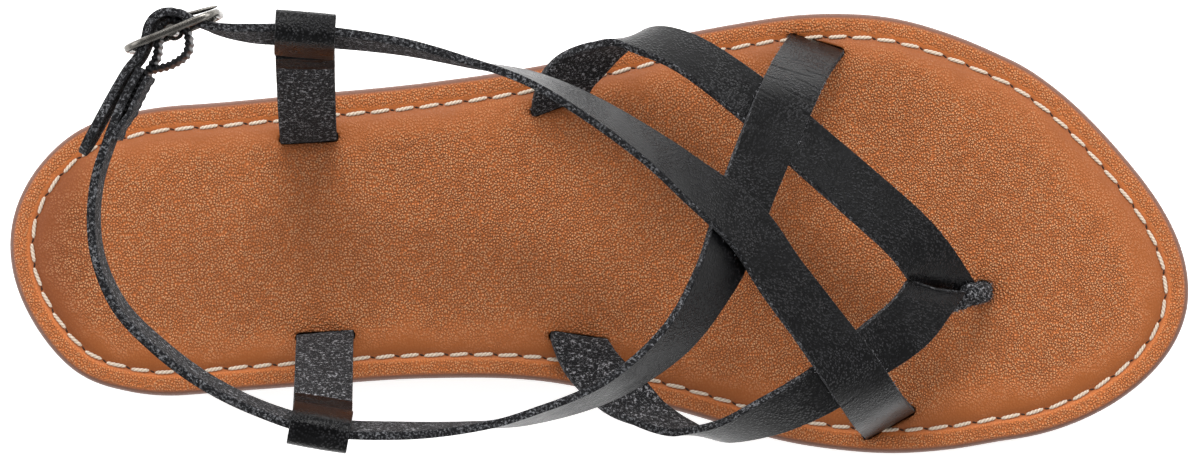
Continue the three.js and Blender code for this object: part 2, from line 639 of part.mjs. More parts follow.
function makeFootbed() {
  const base = (along) => seatAt(along) + GAP;
  const roll = (outward) => lerp(SIDE_ROLL, TIP_ROLL, outward.x ** 4);
  const level = (inset, share) => ({ inset, height: (along) => base(along) + share * FOOTBED_THICKNESS });
  const crown = (inset, share) => ({
    inset: () => inset,
    height: (along) => base(along) + FOOTBED_THICKNESS + share * FOOTBED_CROWN,
  });
  const levels = [
    level(() => BASE_SETBACK, 0),
    ...EDGE_ROLL.map(({ up, gone }) => level((outward) => gone * roll(outward), up)),
    crown(STITCH_INSET, 0),
    crown(STITCH_INSET + PAD_SLOPE, SHOULDER_RISE),
  ];
  const slots = [OUTER_THONG, INNER_THONG, HEEL_STRAP, BUCKLE_STRAP].map((rows) =>
    slotCutter(rows[0], STRAP_WIDTH, STRAP_THICKNESS),
  );
  slots.push(slotCutter(TOE_POST[0], POST_WIDTH, POST_THICKNESS));
  slots.push(slotCutter(OUTER_SLOT, TAB_WIDTH, TAB_THICKNESS));
  slots.push(slotCutter(INNER_SLOT, TAB_WIDTH, TAB_THICKNESS));
  return cutAway(solidOf(plate(levels, (1 - SHOULDER_RISE) * FOOTBED_CROWN)), slots);
}

function makeUpper() {
  const straps = [...thongs, heelStrapRows, buckleStrapRows].map((rows) =>
    strip(rows, STRAP_WIDTH, STRAP_THICKNESS),
  );
  const post = strip(postRows, POST_WIDTH, POST_THICKNESS);
  return cutAway(join([...straps, post]), [inPlace(shank(GAP))]);
}

const rubber = new THREE.MeshStandardMaterial({ color: 0x3a2a22, roughness: 0.75, metalness: 0 });
const tan = new THREE.MeshStandardMaterial({ color: 0xa5643e, roughness: 0.55, metalness: 0 });
const black = new THREE.MeshStandardMaterial({ color: 0x242427, roughness: 0.5, metalness: 0 });
const webbing = new THREE.MeshStandardMaterial({ color: 0x151517, roughness: 0.85, metalness: 0 });
const nickel = new THREE.MeshStandardMaterial({ color: 0x8f8b84, roughness: 0.35, metalness: 1 });

buckle.add(
  meshOf("buckle_frame", makeBuckleFrame(), nickel),
  meshOf("buckle_prong", join([coil(0), shank(0)]), nickel),
);

const sandal = new THREE.Group();
sandal.add(
  meshOf("outsole", makeOutsole(), rubber),
  meshOf("footbed", makeFootbed(), tan),
  meshOf("upper", makeUpper(), black),
  meshOf("keeper_outer", makeKeeper(buckleStrapRows, OUTER_SLOT), black),
  meshOf("keeper_inner", makeKeeper(heelStrapRows, INNER_SLOT), black),
  meshOf("elastic_loop", makeElastic(), webbing),
  meshOf("elastic_cover", makeElasticCover(), black),
  buckle,
);

export default sandal;
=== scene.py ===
"""Looks of the left strappy sandal: a tan stitched footbed, black crossed straps and a small buckle.

Lengths are in metres. +X runs to the toe, +Y to the outer side of the foot, +Z up, and the origin is
on the floor under the middle of the heel.
"""
import math
import random
from collections import namedtuple

import bmesh
import bpy
import numpy as np
from mathutils import Matrix, Vector, noise


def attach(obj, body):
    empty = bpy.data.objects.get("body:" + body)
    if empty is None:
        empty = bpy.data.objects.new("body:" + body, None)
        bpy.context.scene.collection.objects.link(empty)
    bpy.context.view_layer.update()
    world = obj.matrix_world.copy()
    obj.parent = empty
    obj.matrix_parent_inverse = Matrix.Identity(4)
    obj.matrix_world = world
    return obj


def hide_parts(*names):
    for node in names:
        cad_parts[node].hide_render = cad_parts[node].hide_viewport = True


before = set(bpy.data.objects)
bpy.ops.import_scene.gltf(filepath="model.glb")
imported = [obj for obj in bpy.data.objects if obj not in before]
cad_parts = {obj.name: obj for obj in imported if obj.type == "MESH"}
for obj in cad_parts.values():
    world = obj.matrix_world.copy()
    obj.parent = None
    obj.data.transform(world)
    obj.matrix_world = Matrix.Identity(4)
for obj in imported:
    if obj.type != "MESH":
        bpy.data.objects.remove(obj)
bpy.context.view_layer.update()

bl_info = {
    "name": "Strappy Sandal",
    "version": (1, 0, 0),
    "blender": (4, 5, 0),
    "location": "3D View > Sidebar > Sandal",
    "description": "Builds a left strappy sandal piece by piece around its fixed frame",
    "category": "Add Mesh",
}

MM = 0.001
BODY = "root"

# Sizes of the last and the sole
SOLE_LENGTH = 250 * MM
BALL_WIDTH = 94 * MM
HEEL_HEIGHT = 14 * MM
FOREFOOT_THICKNESS = 6.5 * MM
ARCH_LIFT = 6 * MM
TOE_SPRING = 6 * MM
INSTEP_HEIGHT = 50 * MM
SIDE_SETBACK = 0.6 * MM
SIDE_ROUNDING = 1.2 * MM

# Sizes of the footbed
FOOTBED_THICKNESS = 4 * MM
FOOTBED_CROWN = 1 * MM
SIDE_ROLL = 1.0 * MM
TIP_ROLL = 2.6 * MM
STITCH_INSET = 5.05 * MM
PAD_SLOPE = 6 * MM
BASE_SETBACK = 0.6 * MM

# Sizes of the straps, tabs and elastic
STRAP_THICKNESS = 1.7 * MM
STRAP_PRESS = 0.25 * MM
TAB_WIDTH = 12 * MM
TAB_THICKNESS = 1.5 * MM
TAB_LAP = 8 * MM
POST_WIDTH = 3.8 * MM
POST_THICKNESS = 3.4 * MM
ELASTIC_WIDTH = 10 * MM
ELASTIC_THICKNESS = 1.5 * MM
ELASTIC_TAIL = 9 * MM
PATCH_LENGTH = 14.5 * MM
PATCH_SETBACK = 0.5 * MM
PATCH_THICKNESS = 1 * MM
PATCH_SLOPE = 3.5 * MM
SEWN_ELASTIC = 0.7 * MM

# Sizes of the buckle
BUCKLE_LENGTH = 20.4 * MM
BUCKLE_BAND = 1.4 * MM
BUCKLE_DEPTH = 1.5 * MM
BUCKLE_CORNER = 4 * MM
BUCKLE_TURN = math.radians(22)
BAR_RADIUS = 0.8 * MM
PRONG_RADIUS = 0.45 * MM
COIL_WALL = 0.7 * MM

# Clearances
GAP = 0.3 * MM
KEEPER_PLAY = 0.7 * MM
BUCKLE_PLAY = 0.8 * MM
ROOT_RISE = 1.6 * MM

# Places along the sole's side view, as shares of its length
HEEL_CENTRE = 0.14
ANKLE_CENTRE = 0.26
BREAST_EDGE = 0.272
BREAST_FOOT = 0.286
FALL_START = 0.28
FALL_END = 0.6
TREAD_START = 0.58
SPRING_START = 0.76

# Outline of the sole, from the heel's tip to the toe's. Axis is the place of the middle line, outer
# and inner are the half widths beside it before the ends are rounded, as shares of the ball width.
Outline = namedtuple("Outline", "along axis outer inner")
OUTLINE = [
    Outline(0.0, 0.01, 0.33, 0.33),
    Outline(0.05, 0.0, 0.343, 0.351),
    Outline(0.1, 0.0, 0.328, 0.338),
    Outline(0.15, 0.0, 0.328, 0.327),
    Outline(0.25, 0.0, 0.351, 0.307),
    Outline(0.35, 0.0, 0.377, 0.29),
    Outline(0.45, 0.0, 0.418, 0.297),
    Outline(0.55, 0.0, 0.48, 0.354),
    Outline(0.65, -0.01, 0.538, 0.42),
    Outline(0.7, -0.02, 0.557, 0.433),
    Outline(0.75, -0.03, 0.557, 0.432),
    Outline(0.8, -0.045, 0.535, 0.408),
    Outline(0.85, -0.06, 0.493, 0.371),
    Outline(0.9, -0.073, 0.439, 0.344),
    Outline(0.95, -0.084, 0.38, 0.322),
    Outline(1.0, -0.093, 0.335, 0.302),
]
ROUND_END = 0.15

# The straps' rows run from slot to end. Along is a share of the sole's length, across of the ball
# width, up of the instep height over the footbed, and over counts the straps that lie underneath.
# Swing is the plan direction in which the lower edge lies, and dip how far that edge is turned
# down, both in degrees.
Row = namedtuple("Row", "along across up over swing dip")
OUTER_THONG = [
    Row(0.465, 0.333, 0.0, 0, 20, 0),
    Row(0.476, 0.393, 0.18, 0, 7, 0),
    Row(0.509, 0.452, 0.32, 0, 8, 34),
    Row(0.532, 0.468, 0.38, 0, 21, 38),
    Row(0.568, 0.442, 0.45, 0, 42, 45),
    Row(0.632, 0.322, 0.52, 0, 48, 37),
    Row(0.672, 0.227, 0.55, 0, 50, 30),
    Row(0.714, 0.131, 0.52, 0, 47, 27),
    Row(0.756, 0.032, 0.45, 0, 42, 25),
    Row(0.776, -0.03, 0.38, 0, 38, 21),
    Row(0.802, -0.127, 0.27, 0, 33, 20),
]
INNER_THONG = [
    Row(0.482, -0.203, 0.0, 0, -8, 0),
    Row(0.494, -0.259, 0.16, 0, 4, 0),
    Row(0.517, -0.317, 0.3, 0, 12, 12),
    Row(0.541, -0.362, 0.38, 0, 12, 44),
    Row(0.57, -0.396, 0.44, 0, 5, 58),
    Row(0.6, -0.402, 0.5, 0, -45, 66),
    Row(0.643, -0.362, 0.56, 0, -55, 47),
    Row(0.686, -0.301, 0.59, 0, -58, 35),
    Row(0.726, -0.221, 0.54, 0, -53, 26),
    Row(0.758, -0.158, 0.46, 0, -44, 16),
    Row(0.7775, -0.095, 0.37, 0, -41, 16),
    Row(0.7905, -0.05, 0.29, 0, -38, 16),
]
HEEL_STRAP = [
    Row(0.684, 0.463, 0.0, 0, -16, 0),
    Row(0.669, 0.408, 0.27, 0, -10, 5),
    Row(0.654, 0.332, 0.475, 1, -12, 14),
    Row(0.637, 0.231, 0.605, 1, -16, 22),
    Row(0.622, 0.133, 0.7, 1, -20, 26),
    Row(0.611, 0.049, 0.77, 1, -23, 31),
    Row(0.593, -0.063, 0.86, 1, -30, 45),
    Row(0.562, -0.187, 0.93, 0, -40, 57),
    Row(0.508, -0.296, 0.96, 0, -60, 71),
    Row(0.445, -0.355, 0.98, 0, -72, 80),
    Row(0.398, -0.375, 1.0, 0, -79, 91),
    Row(0.34, -0.383, 1.02, 0, -87, 98),
    Row(0.276, -0.374, 1.03, 0, -97, 98),
    Row(0.228, -0.335, 1.05, 0, -112, 96),
    Row(0.185, -0.277, 1.08, 0, -125, 96),
    Row(0.148, -0.203, 1.1, 0, -137, 96),
    Row(0.118, -0.12, 1.12, 0, -150, 94),
    Row(0.1015, -0.023, 1.14, 0, -168, 91),
    Row(0.097, 0.062, 1.14, 0, -180, 90),
    Row(0.1, 0.151, 1.14, 0, -192, 90),
    Row(0.109, 0.229, 1.14, 0, -203, 90),
    Row(0.12, 0.303, 1.14, 0, -207, 90),
    Row(0.131, 0.362, 1.14, 0, -207, 90),
    Row(0.1365, 0.386, 1.14, 0, -207, 90),
]
BUCKLE_STRAP = [
    Row(0.746, -0.391, 0.0, 0, 29, 0),
    Row(0.7305, -0.35, 0.37, 1, 26, 2),
    Row(0.709, -0.271, 0.575, 1, 30, 14),
    Row(0.675, -0.149, 0.67, 1, 38, 28),
    Row(0.648, -0.055, 0.71, 2, 38, 32),
    Row(0.621, 0.049, 0.752, 2, 38, 36),
    Row(0.576, 0.15, 0.875, 1, 49, 50),
    Row(0.543, 0.219, 0.95, 0, 52, 60),
    Row(0.494, 0.304, 0.98, 0, 57, 69),
    Row(0.445, 0.368, 1.0, 0, 66, 80),
    Row(0.398, 0.401, 1.01, 0, 73, 91),
    Row(0.34, 0.437, 1.02, 0, 80, 98),
    Row(0.264, 0.46, 1.04, 0, 87, 102),
    Row(0.221, 0.464, 1.1, 0, 93, 99),
    Row(0.192, 0.475, 1.14, 0, 103, 92),
    Row(0.178, 0.487, 1.14, 0, 112, 90),
    Row(0.167, 0.503, 1.14, 0, 112, 90),
    Row(0.155, 0.505, 1.14, 0, 112, 90),
    Row(0.147, 0.494, 1.14, 0, 130, 90),
    Row(0.142, 0.474, 1.14, 0, 140, 90),
    Row(0.14, 0.45, 1.14, 0, 150, 90),
    Row(0.135, 0.416, 1.14, 0, 150, 90),
    Row(0.125, 0.381, 1.14, 0, 150, 90),
    Row(0.112, 0.322, 1.14, 0, 150, 90),
    Row(0.1, 0.263, 1.14, 0, 150, 90),
    Row(0.088, 0.206, 1.14, 0, 150, 90),
]
TAB_ROW = 12
BAR_ROW = 17
TOE_POST = [
    Row(0.826, -0.094, 0.0, 0, 90, 0),
    Row(0.825, -0.096, 0.08, 0, 90, 0),
    Row(0.818, -0.096, 0.17, 0, 90, 0),
    Row(0.803, -0.09, 0.22, 0, 90, 0),
]
POST_TONGUE = [
    Row(0.823, -0.104, 0.1, 0, 90, 0),
    Row(0.812, -0.112, 0.18, 0, 80, 0),
    Row(0.8, -0.121, 0.25, 0, 70, 10),
    Row(0.79, -0.124, 0.29, 0, 60, 20),
]
OUTER_SLOT = Row(0.254, 0.252, 0.0, 0, 3, 0)
INNER_SLOT = Row(0.268, -0.194, 0.0, 0, 3, 0)

# The elastic's way round the bar: turn is the place round it in degrees, and off the distance past
# the closest that the elastic can lie, as a share of the buckle's length.
Turn = namedtuple("Turn", "turn off")
ELASTIC_LOOP = [
    Turn(214, 0.21),
    Turn(193, 0.09),
    Turn(145, 0.03),
    Turn(80, 0.015),
    Turn(21, 0.028),
    Turn(-27, 0.04),
    Turn(-61, 0.1),
    Turn(-83, 0.16),
    Turn(-115, 0.23),
]

# The two thongs end along one crease at the toe. Reach is how much further the front edge runs than
# the rear one, bow how far the crease curves, tuck how deep the ends turn down into it, and roll the
# length over which they turn.
End = namedtuple("End", "reach bow tuck roll")
TOE_ENDS = {
    "outer_thong": End(10.1 * MM, 0.9 * MM, 4.4 * MM, 14 * MM),
    "inner_thong": End(8.6 * MM, -1.5 * MM, 1.7 * MM, 6 * MM),
}
SQUARE_END = End(0, 0, 0, 1)
END_EASE = 20 * MM

# Creases in the straps' smooth faces. Way is the place along the strap's rows, tilt the slant in
# degrees, deep and broad the trough's depth and breadth, reach how far it runs in from one edge as
# a share of the width, and edge the edge that it starts from: lower 1, upper -1.
Crease = namedtuple("Crease", "way tilt deep broad reach edge")
CREASES = {
    "outer_thong": [
        Crease(6.2, 12, 0.06 * MM, 0.4 * MM, 0.6, 1),
        Crease(7.6, -14, 0.07 * MM, 0.35 * MM, 0.7, -1),
        Crease(8.1, 8, 0.07 * MM, 0.3 * MM, 0.5, 1),
        Crease(8.5, -10, 0.08 * MM, 0.35 * MM, 0.6, -1),
        Crease(9.0, 12, 0.08 * MM, 0.35 * MM, 0.5, -1),
    ],
    "inner_thong": [
        Crease(7.4, -8, 0.08 * MM, 0.4 * MM, 0.5, 1),
        Crease(8.3, 12, 0.07 * MM, 0.35 * MM, 0.5, -1),
        Crease(9.2, -8, 0.08 * MM, 0.35 * MM, 0.5, 1),
        Crease(9.7, 10, 0.07 * MM, 0.35 * MM, 0.5, -1),
    ],
    "heel_strap": [
        Crease(1.75, 4, 0.06 * MM, 0.3 * MM, 0.5, 1),
        Crease(1.95, -3, 0.08 * MM, 0.3 * MM, 0.8, -1),
        Crease(2.15, 5, 0.1 * MM, 0.28 * MM, 0.6, 1),
        Crease(2.32, -2, 0.12 * MM, 0.3 * MM, 1.0, -1),
        Crease(2.5, 6, 0.1 * MM, 0.28 * MM, 0.7, 1),
        Crease(2.66, -5, 0.1 * MM, 0.3 * MM, 0.55, -1),
        Crease(2.85, 2, 0.08 * MM, 0.3 * MM, 0.9, 1),
        Crease(3.1, -6, 0.07 * MM, 0.3 * MM, 0.5, -1),
        Crease(6.6, 8, 0.06 * MM, 0.4 * MM, 0.6, -1),
    ],
    "buckle_strap": [
        Crease(2.3, -8, 0.07 * MM, 0.4 * MM, 0.5, 1),
        Crease(2.7, 6, 0.07 * MM, 0.35 * MM, 0.5, -1),
        Crease(6.6, 8, 0.07 * MM, 0.4 * MM, 0.6, -1),
        Crease(7.3, -10, 0.06 * MM, 0.4 * MM, 0.5, 1),
        Crease(16.4, 0, 0.1 * MM, 0.45 * MM, 1.0, 1),
        Crease(17.2, 0, 0.1 * MM, 0.45 * MM, 1.0, -1),
    ],
}

# Soft troughs in the padding: place, half lengths along and across, depth
Trough = namedtuple("Trough", "along across long wide deep")
SLOT_TROUGH = Trough(0, 0, 7.0 * MM, 2.6 * MM, 0.8 * MM)
POST_TROUGH = Trough(0, 0, 4.4 * MM, 4.0 * MM, 0.9 * MM)
TROUGHS = [
    Trough(0.285, 0.17, 16 * MM, 7 * MM, 0.25 * MM),
    Trough(0.29, -0.12, 18 * MM, 7 * MM, 0.25 * MM),
    Trough(0.64, -0.02, 26 * MM, 14 * MM, 0.3 * MM),
    Trough(0.74, 0.3, 12 * MM, 9 * MM, 0.2 * MM),
    Trough(0.1, 0.12, 10 * MM, 14 * MM, 0.2 * MM),
]


def linear(red, green, blue):
    """A colour picked as 8-bit screen values, as linear light."""
    def one(value):
        share = value / 255
        return share / 12.92 if share <= 0.04045 else ((share + 0.055) / 1.055) ** 2.4
    return (one(red), one(green), one(blue))


def length_property(name, description, default, low, high):
    return bpy.props.FloatProperty(
        name=name, description=description, default=default, min=low, max=high,
        subtype="DISTANCE", unit="LENGTH")


def colour_property(name, description, default):
    return bpy.props.FloatVectorProperty(
        name=name, description=description, default=default, size=3, min=0, max=1, subtype="COLOR")


class SandalSizes(bpy.types.PropertyGroup):
    """Sizes that a user would change."""
    strap_width: length_property(
        "Strap width", "Width of the four straps", 12 * MM, 6 * MM, 20 * MM)
    stitch_pitch: length_property(
        "Stitch pitch", "Distance from one stitch of the footbed to the next",
        5.2 * MM, 2 * MM, 12 * MM)
    stitch_length: length_property(
        "Stitch length", "Length of thread that shows in one stitch", 4.4 * MM, 1 * MM, 10 * MM)
    thread_radius: length_property(
        "Thread radius", "Half the thickness of the footbed's thread", 0.37 * MM, 0.1 * MM, 1 * MM)
    pebble: length_property(
        "Grain pitch", "Size of one pebble of the footbed's grain", 0.52 * MM, 0.3 * MM, 3 * MM)
    floor_reach: length_property("Floor reach", "Half the width of the floor", 4.0, 1.0, 20.0)


class SandalColours(bpy.types.PropertyGroup):
    """Colours that a user would change."""
    footbed_tan: colour_property("Footbed", "Tan of the footbed's cover", linear(204, 115, 56))
    edge_tan: colour_property("Edge band", "Smooth edge band of the footbed", linear(112, 75, 60))
    thread_cream: colour_property(
        "Thread", "Cream thread of the footbed's stitching", linear(226, 211, 192))
    strap_black: colour_property("Strap face", "Smooth outer face of the straps", linear(7, 7, 8))
    suede_black: colour_property("Strap suede", "Suede inner face of the straps", linear(22, 22, 24))
    elastic_black: colour_property("Elastic", "Ribbed elastic at the buckle", linear(8, 8, 9))
    sole_brown: colour_property("Sole", "Moulded rubber of the outsole", linear(70, 46, 35))
    nickel: colour_property("Buckle", "Antique nickel of the buckle", linear(122, 119, 114))
    floor_white: colour_property("Floor", "Plain pale floor", (0.99, 0.99, 0.99))


def sizes():
    return bpy.context.scene.sandal_sizes


def colours():
    return bpy.context.scene.sandal_colours


def unit(vector):
    return vector / np.linalg.norm(vector)


# Form of the last

BATCH = 4000


def smoothstep(value, low, high):
    t = np.clip((value - low) / (high - low), 0, 1)
    return t * t * (3 - 2 * t)


def length_at(along):
    return (along - HEEL_CENTRE) * SOLE_LENGTH


def share_at(x):
    return x / SOLE_LENGTH + HEEL_CENTRE


def spring_at(along):
    return TOE_SPRING * np.maximum(0, (along - SPRING_START) / (1 - SPRING_START)) ** 2


def tread_at(along):
    breast = np.clip((along - BREAST_EDGE) / (BREAST_FOOT - BREAST_EDGE), 0, 1)
    waist = 1 - smoothstep(along, BREAST_FOOT, TREAD_START)
    return ARCH_LIFT * breast * waist + spring_at(along)


def seat_at(along):
    fall = smoothstep(along, FALL_START, FALL_END)
    return HEEL_HEIGHT + (FOREFOOT_THICKNESS - HEEL_HEIGHT) * fall + spring_at(along)


def footbed_top_at(along):
    return seat_at(along) + GAP + FOOTBED_THICKNESS + FOOTBED_CROWN


def column(name, along):
    """A smooth curve through one column of the outline's table."""
    found = next((i for i, row in enumerate(OUTLINE) if row.along >= along), len(OUTLINE) - 1)
    i = max(found, 1)
    a, b = OUTLINE[i - 1], OUTLINE[i]

    def slope(p, q):
        return (getattr(q, name) - getattr(p, name)) / (q.along - p.along)

    run = b.along - a.along
    t = min(max((along - a.along) / run, 0), 1)
    before = OUTLINE[i - 2] if i > 1 else a
    after = OUTLINE[i + 1] if i + 1 < len(OUTLINE) else b
    leaving = slope(before, b) * run * t * (1 - t) ** 2
    arriving = slope(a, after) * run * t ** 2 * (1 - t)
    ease = t * t * (3 - 2 * t)
    level = getattr(a, name) + (getattr(b, name) - getattr(a, name)) * ease
    return level + leaving - arriving


def edge_point(along, side):
    from_tip = min(1.0, min(along, 1 - along) / ROUND_END)
    rounding = math.sqrt(max(0.0, 1 - (1 - from_tip) ** 2))
    half = column("outer" if side > 0 else "inner", along) * rounding
    return (length_at(along), (column("axis", along) + side * half) * BALL_WIDTH)


def make_outline(stations):
    """Plan points anticlockwise from the heel's tip, and the outward direction at each."""
    alongs = [(1 - math.cos(math.pi * i / stations)) / 2 for i in range(1, stations)]
    places = [edge_point(0, 1)] + [edge_point(a, -1) for a in alongs]
    places += [edge_point(1, 1)] + [edge_point(a, 1) for a in reversed(alongs)]
    points = np.array(places)
    run = np.roll(points, -1, axis=0) - np.roll(points, 1, axis=0)
    run /= np.linalg.norm(run, axis=1, keepdims=True)
    return points, np.stack([run[:, 1], -run[:, 0]], axis=1)


def distance_inside(points, outline):
    """Distance of plan points from the sole's edge, measured inward."""
    a, b = outline, np.roll(outline, -1, axis=0)
    ab = b - a
    square = (ab ** 2).sum(1)
    nearest = np.empty(len(points))
    for start in range(0, len(points), BATCH):
        p = points[start:start + BATCH, None, :]
        t = np.clip(((p - a) * ab).sum(2) / square, 0, 1)
        nearest[start:start + BATCH] = np.sqrt((((a + ab * t[..., None]) - p) ** 2).sum(2).min(1))
    return nearest


# Meshes

def new_object(name, points, faces, materials, face_material=None):
    """A smooth-shaded object with its place in its mesh."""
    mesh = bpy.data.meshes.new(name)
    mesh.from_pydata([tuple(p) for p in points], [], [tuple(f) for f in faces])
    for material in materials:
        mesh.materials.append(material)
    if face_material is not None:
        mesh.polygons.foreach_set("material_index", np.asarray(face_material, dtype=np.int32))
    mesh.polygons.foreach_set("use_smooth", np.ones(len(mesh.polygons), dtype=bool))
    mesh.validate()
    work = bmesh.new()
    work.from_mesh(mesh)
    bmesh.ops.recalc_face_normals(work, faces=work.faces)
    work.to_mesh(mesh)
    work.free()
    piece = bpy.data.objects.new(name, mesh)
    bpy.context.scene.collection.objects.link(piece)
    return piece


def set_point_values(mesh, name, values):
    kind = "FLOAT" if np.ndim(values) == 1 else "FLOAT_VECTOR"
    layer = mesh.attributes.new(name, kind, "POINT")
    layer.data.foreach_set("value" if kind == "FLOAT" else "vector", np.asarray(values, float).ravel())


def ring_faces(rings, sides, start=0, closed=False):
    """Quads between rings of equal size, and from the last back to the first if closed."""
    faces = []
    for r in range(rings if closed else rings - 1):
        first = start + r * sides
        after = start + (r + 1) % rings * sides
        for k in range(sides):
            n = (k + 1) % sides
            faces.append((first + k, first + n, after + n, after + k))
    return faces


def cap_faces(rings, sides, start=0):
    """The two ends of a tube of rings."""
    last = start + (rings - 1) * sides
    return [tuple(range(start, start + sides)), tuple(range(last, last + sides))]


def circle(sides):
    """Cosine and sine of each place round a circle."""
    angles = [2 * math.pi * k / sides for k in range(sides)]
    return [(math.cos(angle), math.sin(angle)) for angle in angles]


def squarer(share, power):
    """A cosine or sine that makes a circle into a rounded square."""
    return math.copysign(abs(share) ** power, share)


def add_part(points, faces, part_points, part_faces):
    """Join one part to the points and faces of a piece."""
    faces += [tuple(len(points) + v for v in face) for face in part_faces]
    points += part_points


def finish_piece(piece, slot, *nodes):
    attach(piece, BODY)
    if nodes:
        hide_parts(*nodes)
    return piece


def plate_rows(points, first, count, across):
    """Rows across the sole between the two sides of a ring, added to points."""
    half = count // 2
    rows = []
    for i in range(1, half):
        inner, outer = first + i, first + count - i
        between = []
        for j in range(1, across):
            share = j / across
            between.append(len(points))
            points.append([(1 - share) * a + share * b for a, b in zip(points[inner], points[outer])])
        rows.append([inner, *between, outer])
    faces = []
    tip = first + half
    for j in range(across):
        faces.append((first, rows[0][j], rows[0][j + 1]))
        faces.append((rows[-1][j], tip, rows[-1][j + 1]))
        for a, b in zip(rows, rows[1:]):
            faces.append((a[j], b[j], b[j + 1], a[j + 1]))
    return faces


# Paths of the straps

NEAR = 1e-4


class Curve:
    """A smooth curve through its points, even where they lie unevenly."""

    def __init__(self, points):
        self.points = [np.array(p, float) for p in points]

    def at(self, t):
        points = self.points
        spot = (len(points) - 1) * min(max(t, 0.0), 1.0)
        i = min(int(spot), len(points) - 2)
        w = spot - i
        p1, p2 = points[i], points[i + 1]
        p0 = points[i - 1] if i > 0 else 2 * p1 - p2
        p3 = points[i + 2] if i + 2 < len(points) else 2 * p2 - p1
        knots = [max(np.linalg.norm(b - a), 0.0) ** 0.5 for a, b in ((p0, p1), (p1, p2), (p2, p3))]
        middle = knots[1] if knots[1] > NEAR else 1.0
        before = knots[0] if knots[0] > NEAR else middle
        after = knots[2] if knots[2] > NEAR else middle
        start = ((p1 - p0) / before - (p2 - p0) / (before + middle) + (p2 - p1) / middle) * middle
        end = ((p2 - p1) / middle - (p3 - p1) / (middle + after) + (p3 - p2) / after) * middle
        bend = 2 * p1 - 2 * p2 + start + end
        lean = -3 * p1 + 3 * p2 - 2 * start - end
        return p1 + w * (start + w * (lean + w * bend))

    def tangent(self, t):
        low, high = max(t - NEAR, 0), min(t + NEAR, 1)
        return unit(self.at(high) - self.at(low))


Spot = namedtuple("Spot", "place swing dip")
Frame = namedtuple("Frame", "place run down face outward")


def placed(row):
    height = footbed_top_at(row.along) + row.up * INSTEP_HEIGHT
    lift = row.over * (STRAP_THICKNESS - STRAP_PRESS)
    place = np.array([length_at(row.along), row.across * BALL_WIDTH, height + lift])
    return Spot(place, row.swing, row.dip)


def rooted(spots, along):
    """Spots that start with a root in the slot, just above the sole."""
    first = spots[0]
    root = first.place.copy()
    root[2] = seat_at(along) + ROOT_RISE
    return [Spot(root, first.swing, first.dip), *spots]


def strap_spots(rows):
    return rooted([placed(row) for row in rows], rows[0].along)


class Path:
    """A strap's way. A frame holds the place, the way along it, the way to its lower edge and its face."""

    def __init__(self, spots):
        self.count = len(spots) - 1
        self.places = Curve([s.place for s in spots])
        self.ply_shades = Curve([[math.radians(s.swing), math.radians(s.dip), 0] for s in spots])

    def at(self, t):
        place = self.places.at(t)
        run = self.places.tangent(t)
        swing, dip, _ = self.ply_shades.at(t)
        level = math.cos(dip)
        down = np.array([math.cos(swing) * level, math.sin(swing) * level, -math.sin(dip)])
        down = unit(down - run * down.dot(run))
        face = np.cross(run, down)
        aside = place - np.array([length_at(ANKLE_CENTRE), 0, 0])
        side = np.sign(aside[0] * face[0] + aside[1] * face[1])
        return Frame(place, run, down, face, face * side)

    def lengths(self, samples=600):
        """Places t along the path and the length run there."""
        ts = np.linspace(0, 1, samples + 1)
        places = np.array([self.places.at(t) for t in ts])
        steps = np.linalg.norm(np.diff(places, axis=0), axis=1)
        return ts, np.concatenate([[0], np.cumsum(steps)])

    def from_end(self, distance):
        ts, run = self.lengths()
        return self.at(float(np.interp(run[-1] - distance, run, ts)))

    def even(self, step):
        """Places t that lie evenly by length, with those lengths."""
        ts, run = self.lengths()
        count = max(2, int(round(run[-1] / step)))
        wanted = np.linspace(0, run[-1], count + 1)
        return np.interp(wanted, run, ts), wanted


# Cut leather strips

FACE_COLUMNS = 18
EDGE_COLUMNS = 3
INNER_COLUMNS = 8
FACE_ROUND = 0.32 * MM
INNER_ROUND = 0.18 * MM
STRIP_STEP = 0.32 * MM
CREASE_WAVER = 0.22 * MM
CREASE_WAVE = 1.5 * MM
CREASE_SHIFT = 9
CREASE_LIMIT = 4
RIDGE_HEIGHT = 0.35
RIDGE_PLACE = 1.6
EDGE_FRAY = 0.05 * MM
FRAY_PITCH = 1.7 * MM
CORNER_REACH = 0.7
CORNER_DROP = 0.3
NARROWEST_TIP = 0.12
WAVE_TURN = 6.283
WAVE_SHIFT = 7.31
FINE_WAVE = 2.71
BROAD_WAVE = 0.37
FACE_DOME = 0.12 * MM
FACE, EDGE, SUEDE = 0, 1, 2


def strip_section(width, thickness):
    """One section: place across, place through the thickness, and the surface it belongs to."""
    half, top, low = width / 2, thickness / 2, -thickness / 2
    section = []
    flat = half - FACE_ROUND
    for a in np.linspace(-flat, flat, FACE_COLUMNS):
        section.append((a, top + FACE_DOME * (1 - (a / half) ** 2) - FACE_DOME, FACE))
    section.append((flat + FACE_ROUND * CORNER_REACH, top - FACE_ROUND * CORNER_DROP, FACE))
    for b in np.linspace(top - FACE_ROUND, low + INNER_ROUND, EDGE_COLUMNS):
        section.append((half, b, EDGE))
    flat = half - INNER_ROUND
    for a in np.linspace(flat, -flat, INNER_COLUMNS):
        section.append((a, low, SUEDE))
    for b in np.linspace(low + INNER_ROUND, top - FACE_ROUND, EDGE_COLUMNS):
        section.append((-half, b, EDGE))
    section.append((-half + FACE_ROUND * CORNER_DROP, top - FACE_ROUND * CORNER_DROP, FACE))
    return section


def wobble(along, seed, pitch):
    """Even, repeatable unevenness between -1 and 1."""
    x = along / pitch + seed * WAVE_SHIFT
    fine = 0.6 * np.sin(x * FINE_WAVE * WAVE_TURN + seed)
    broad = 0.4 * np.sin(x * BROAD_WAVE * WAVE_TURN)
    return (np.sin(x * WAVE_TURN) + fine + broad) / 2


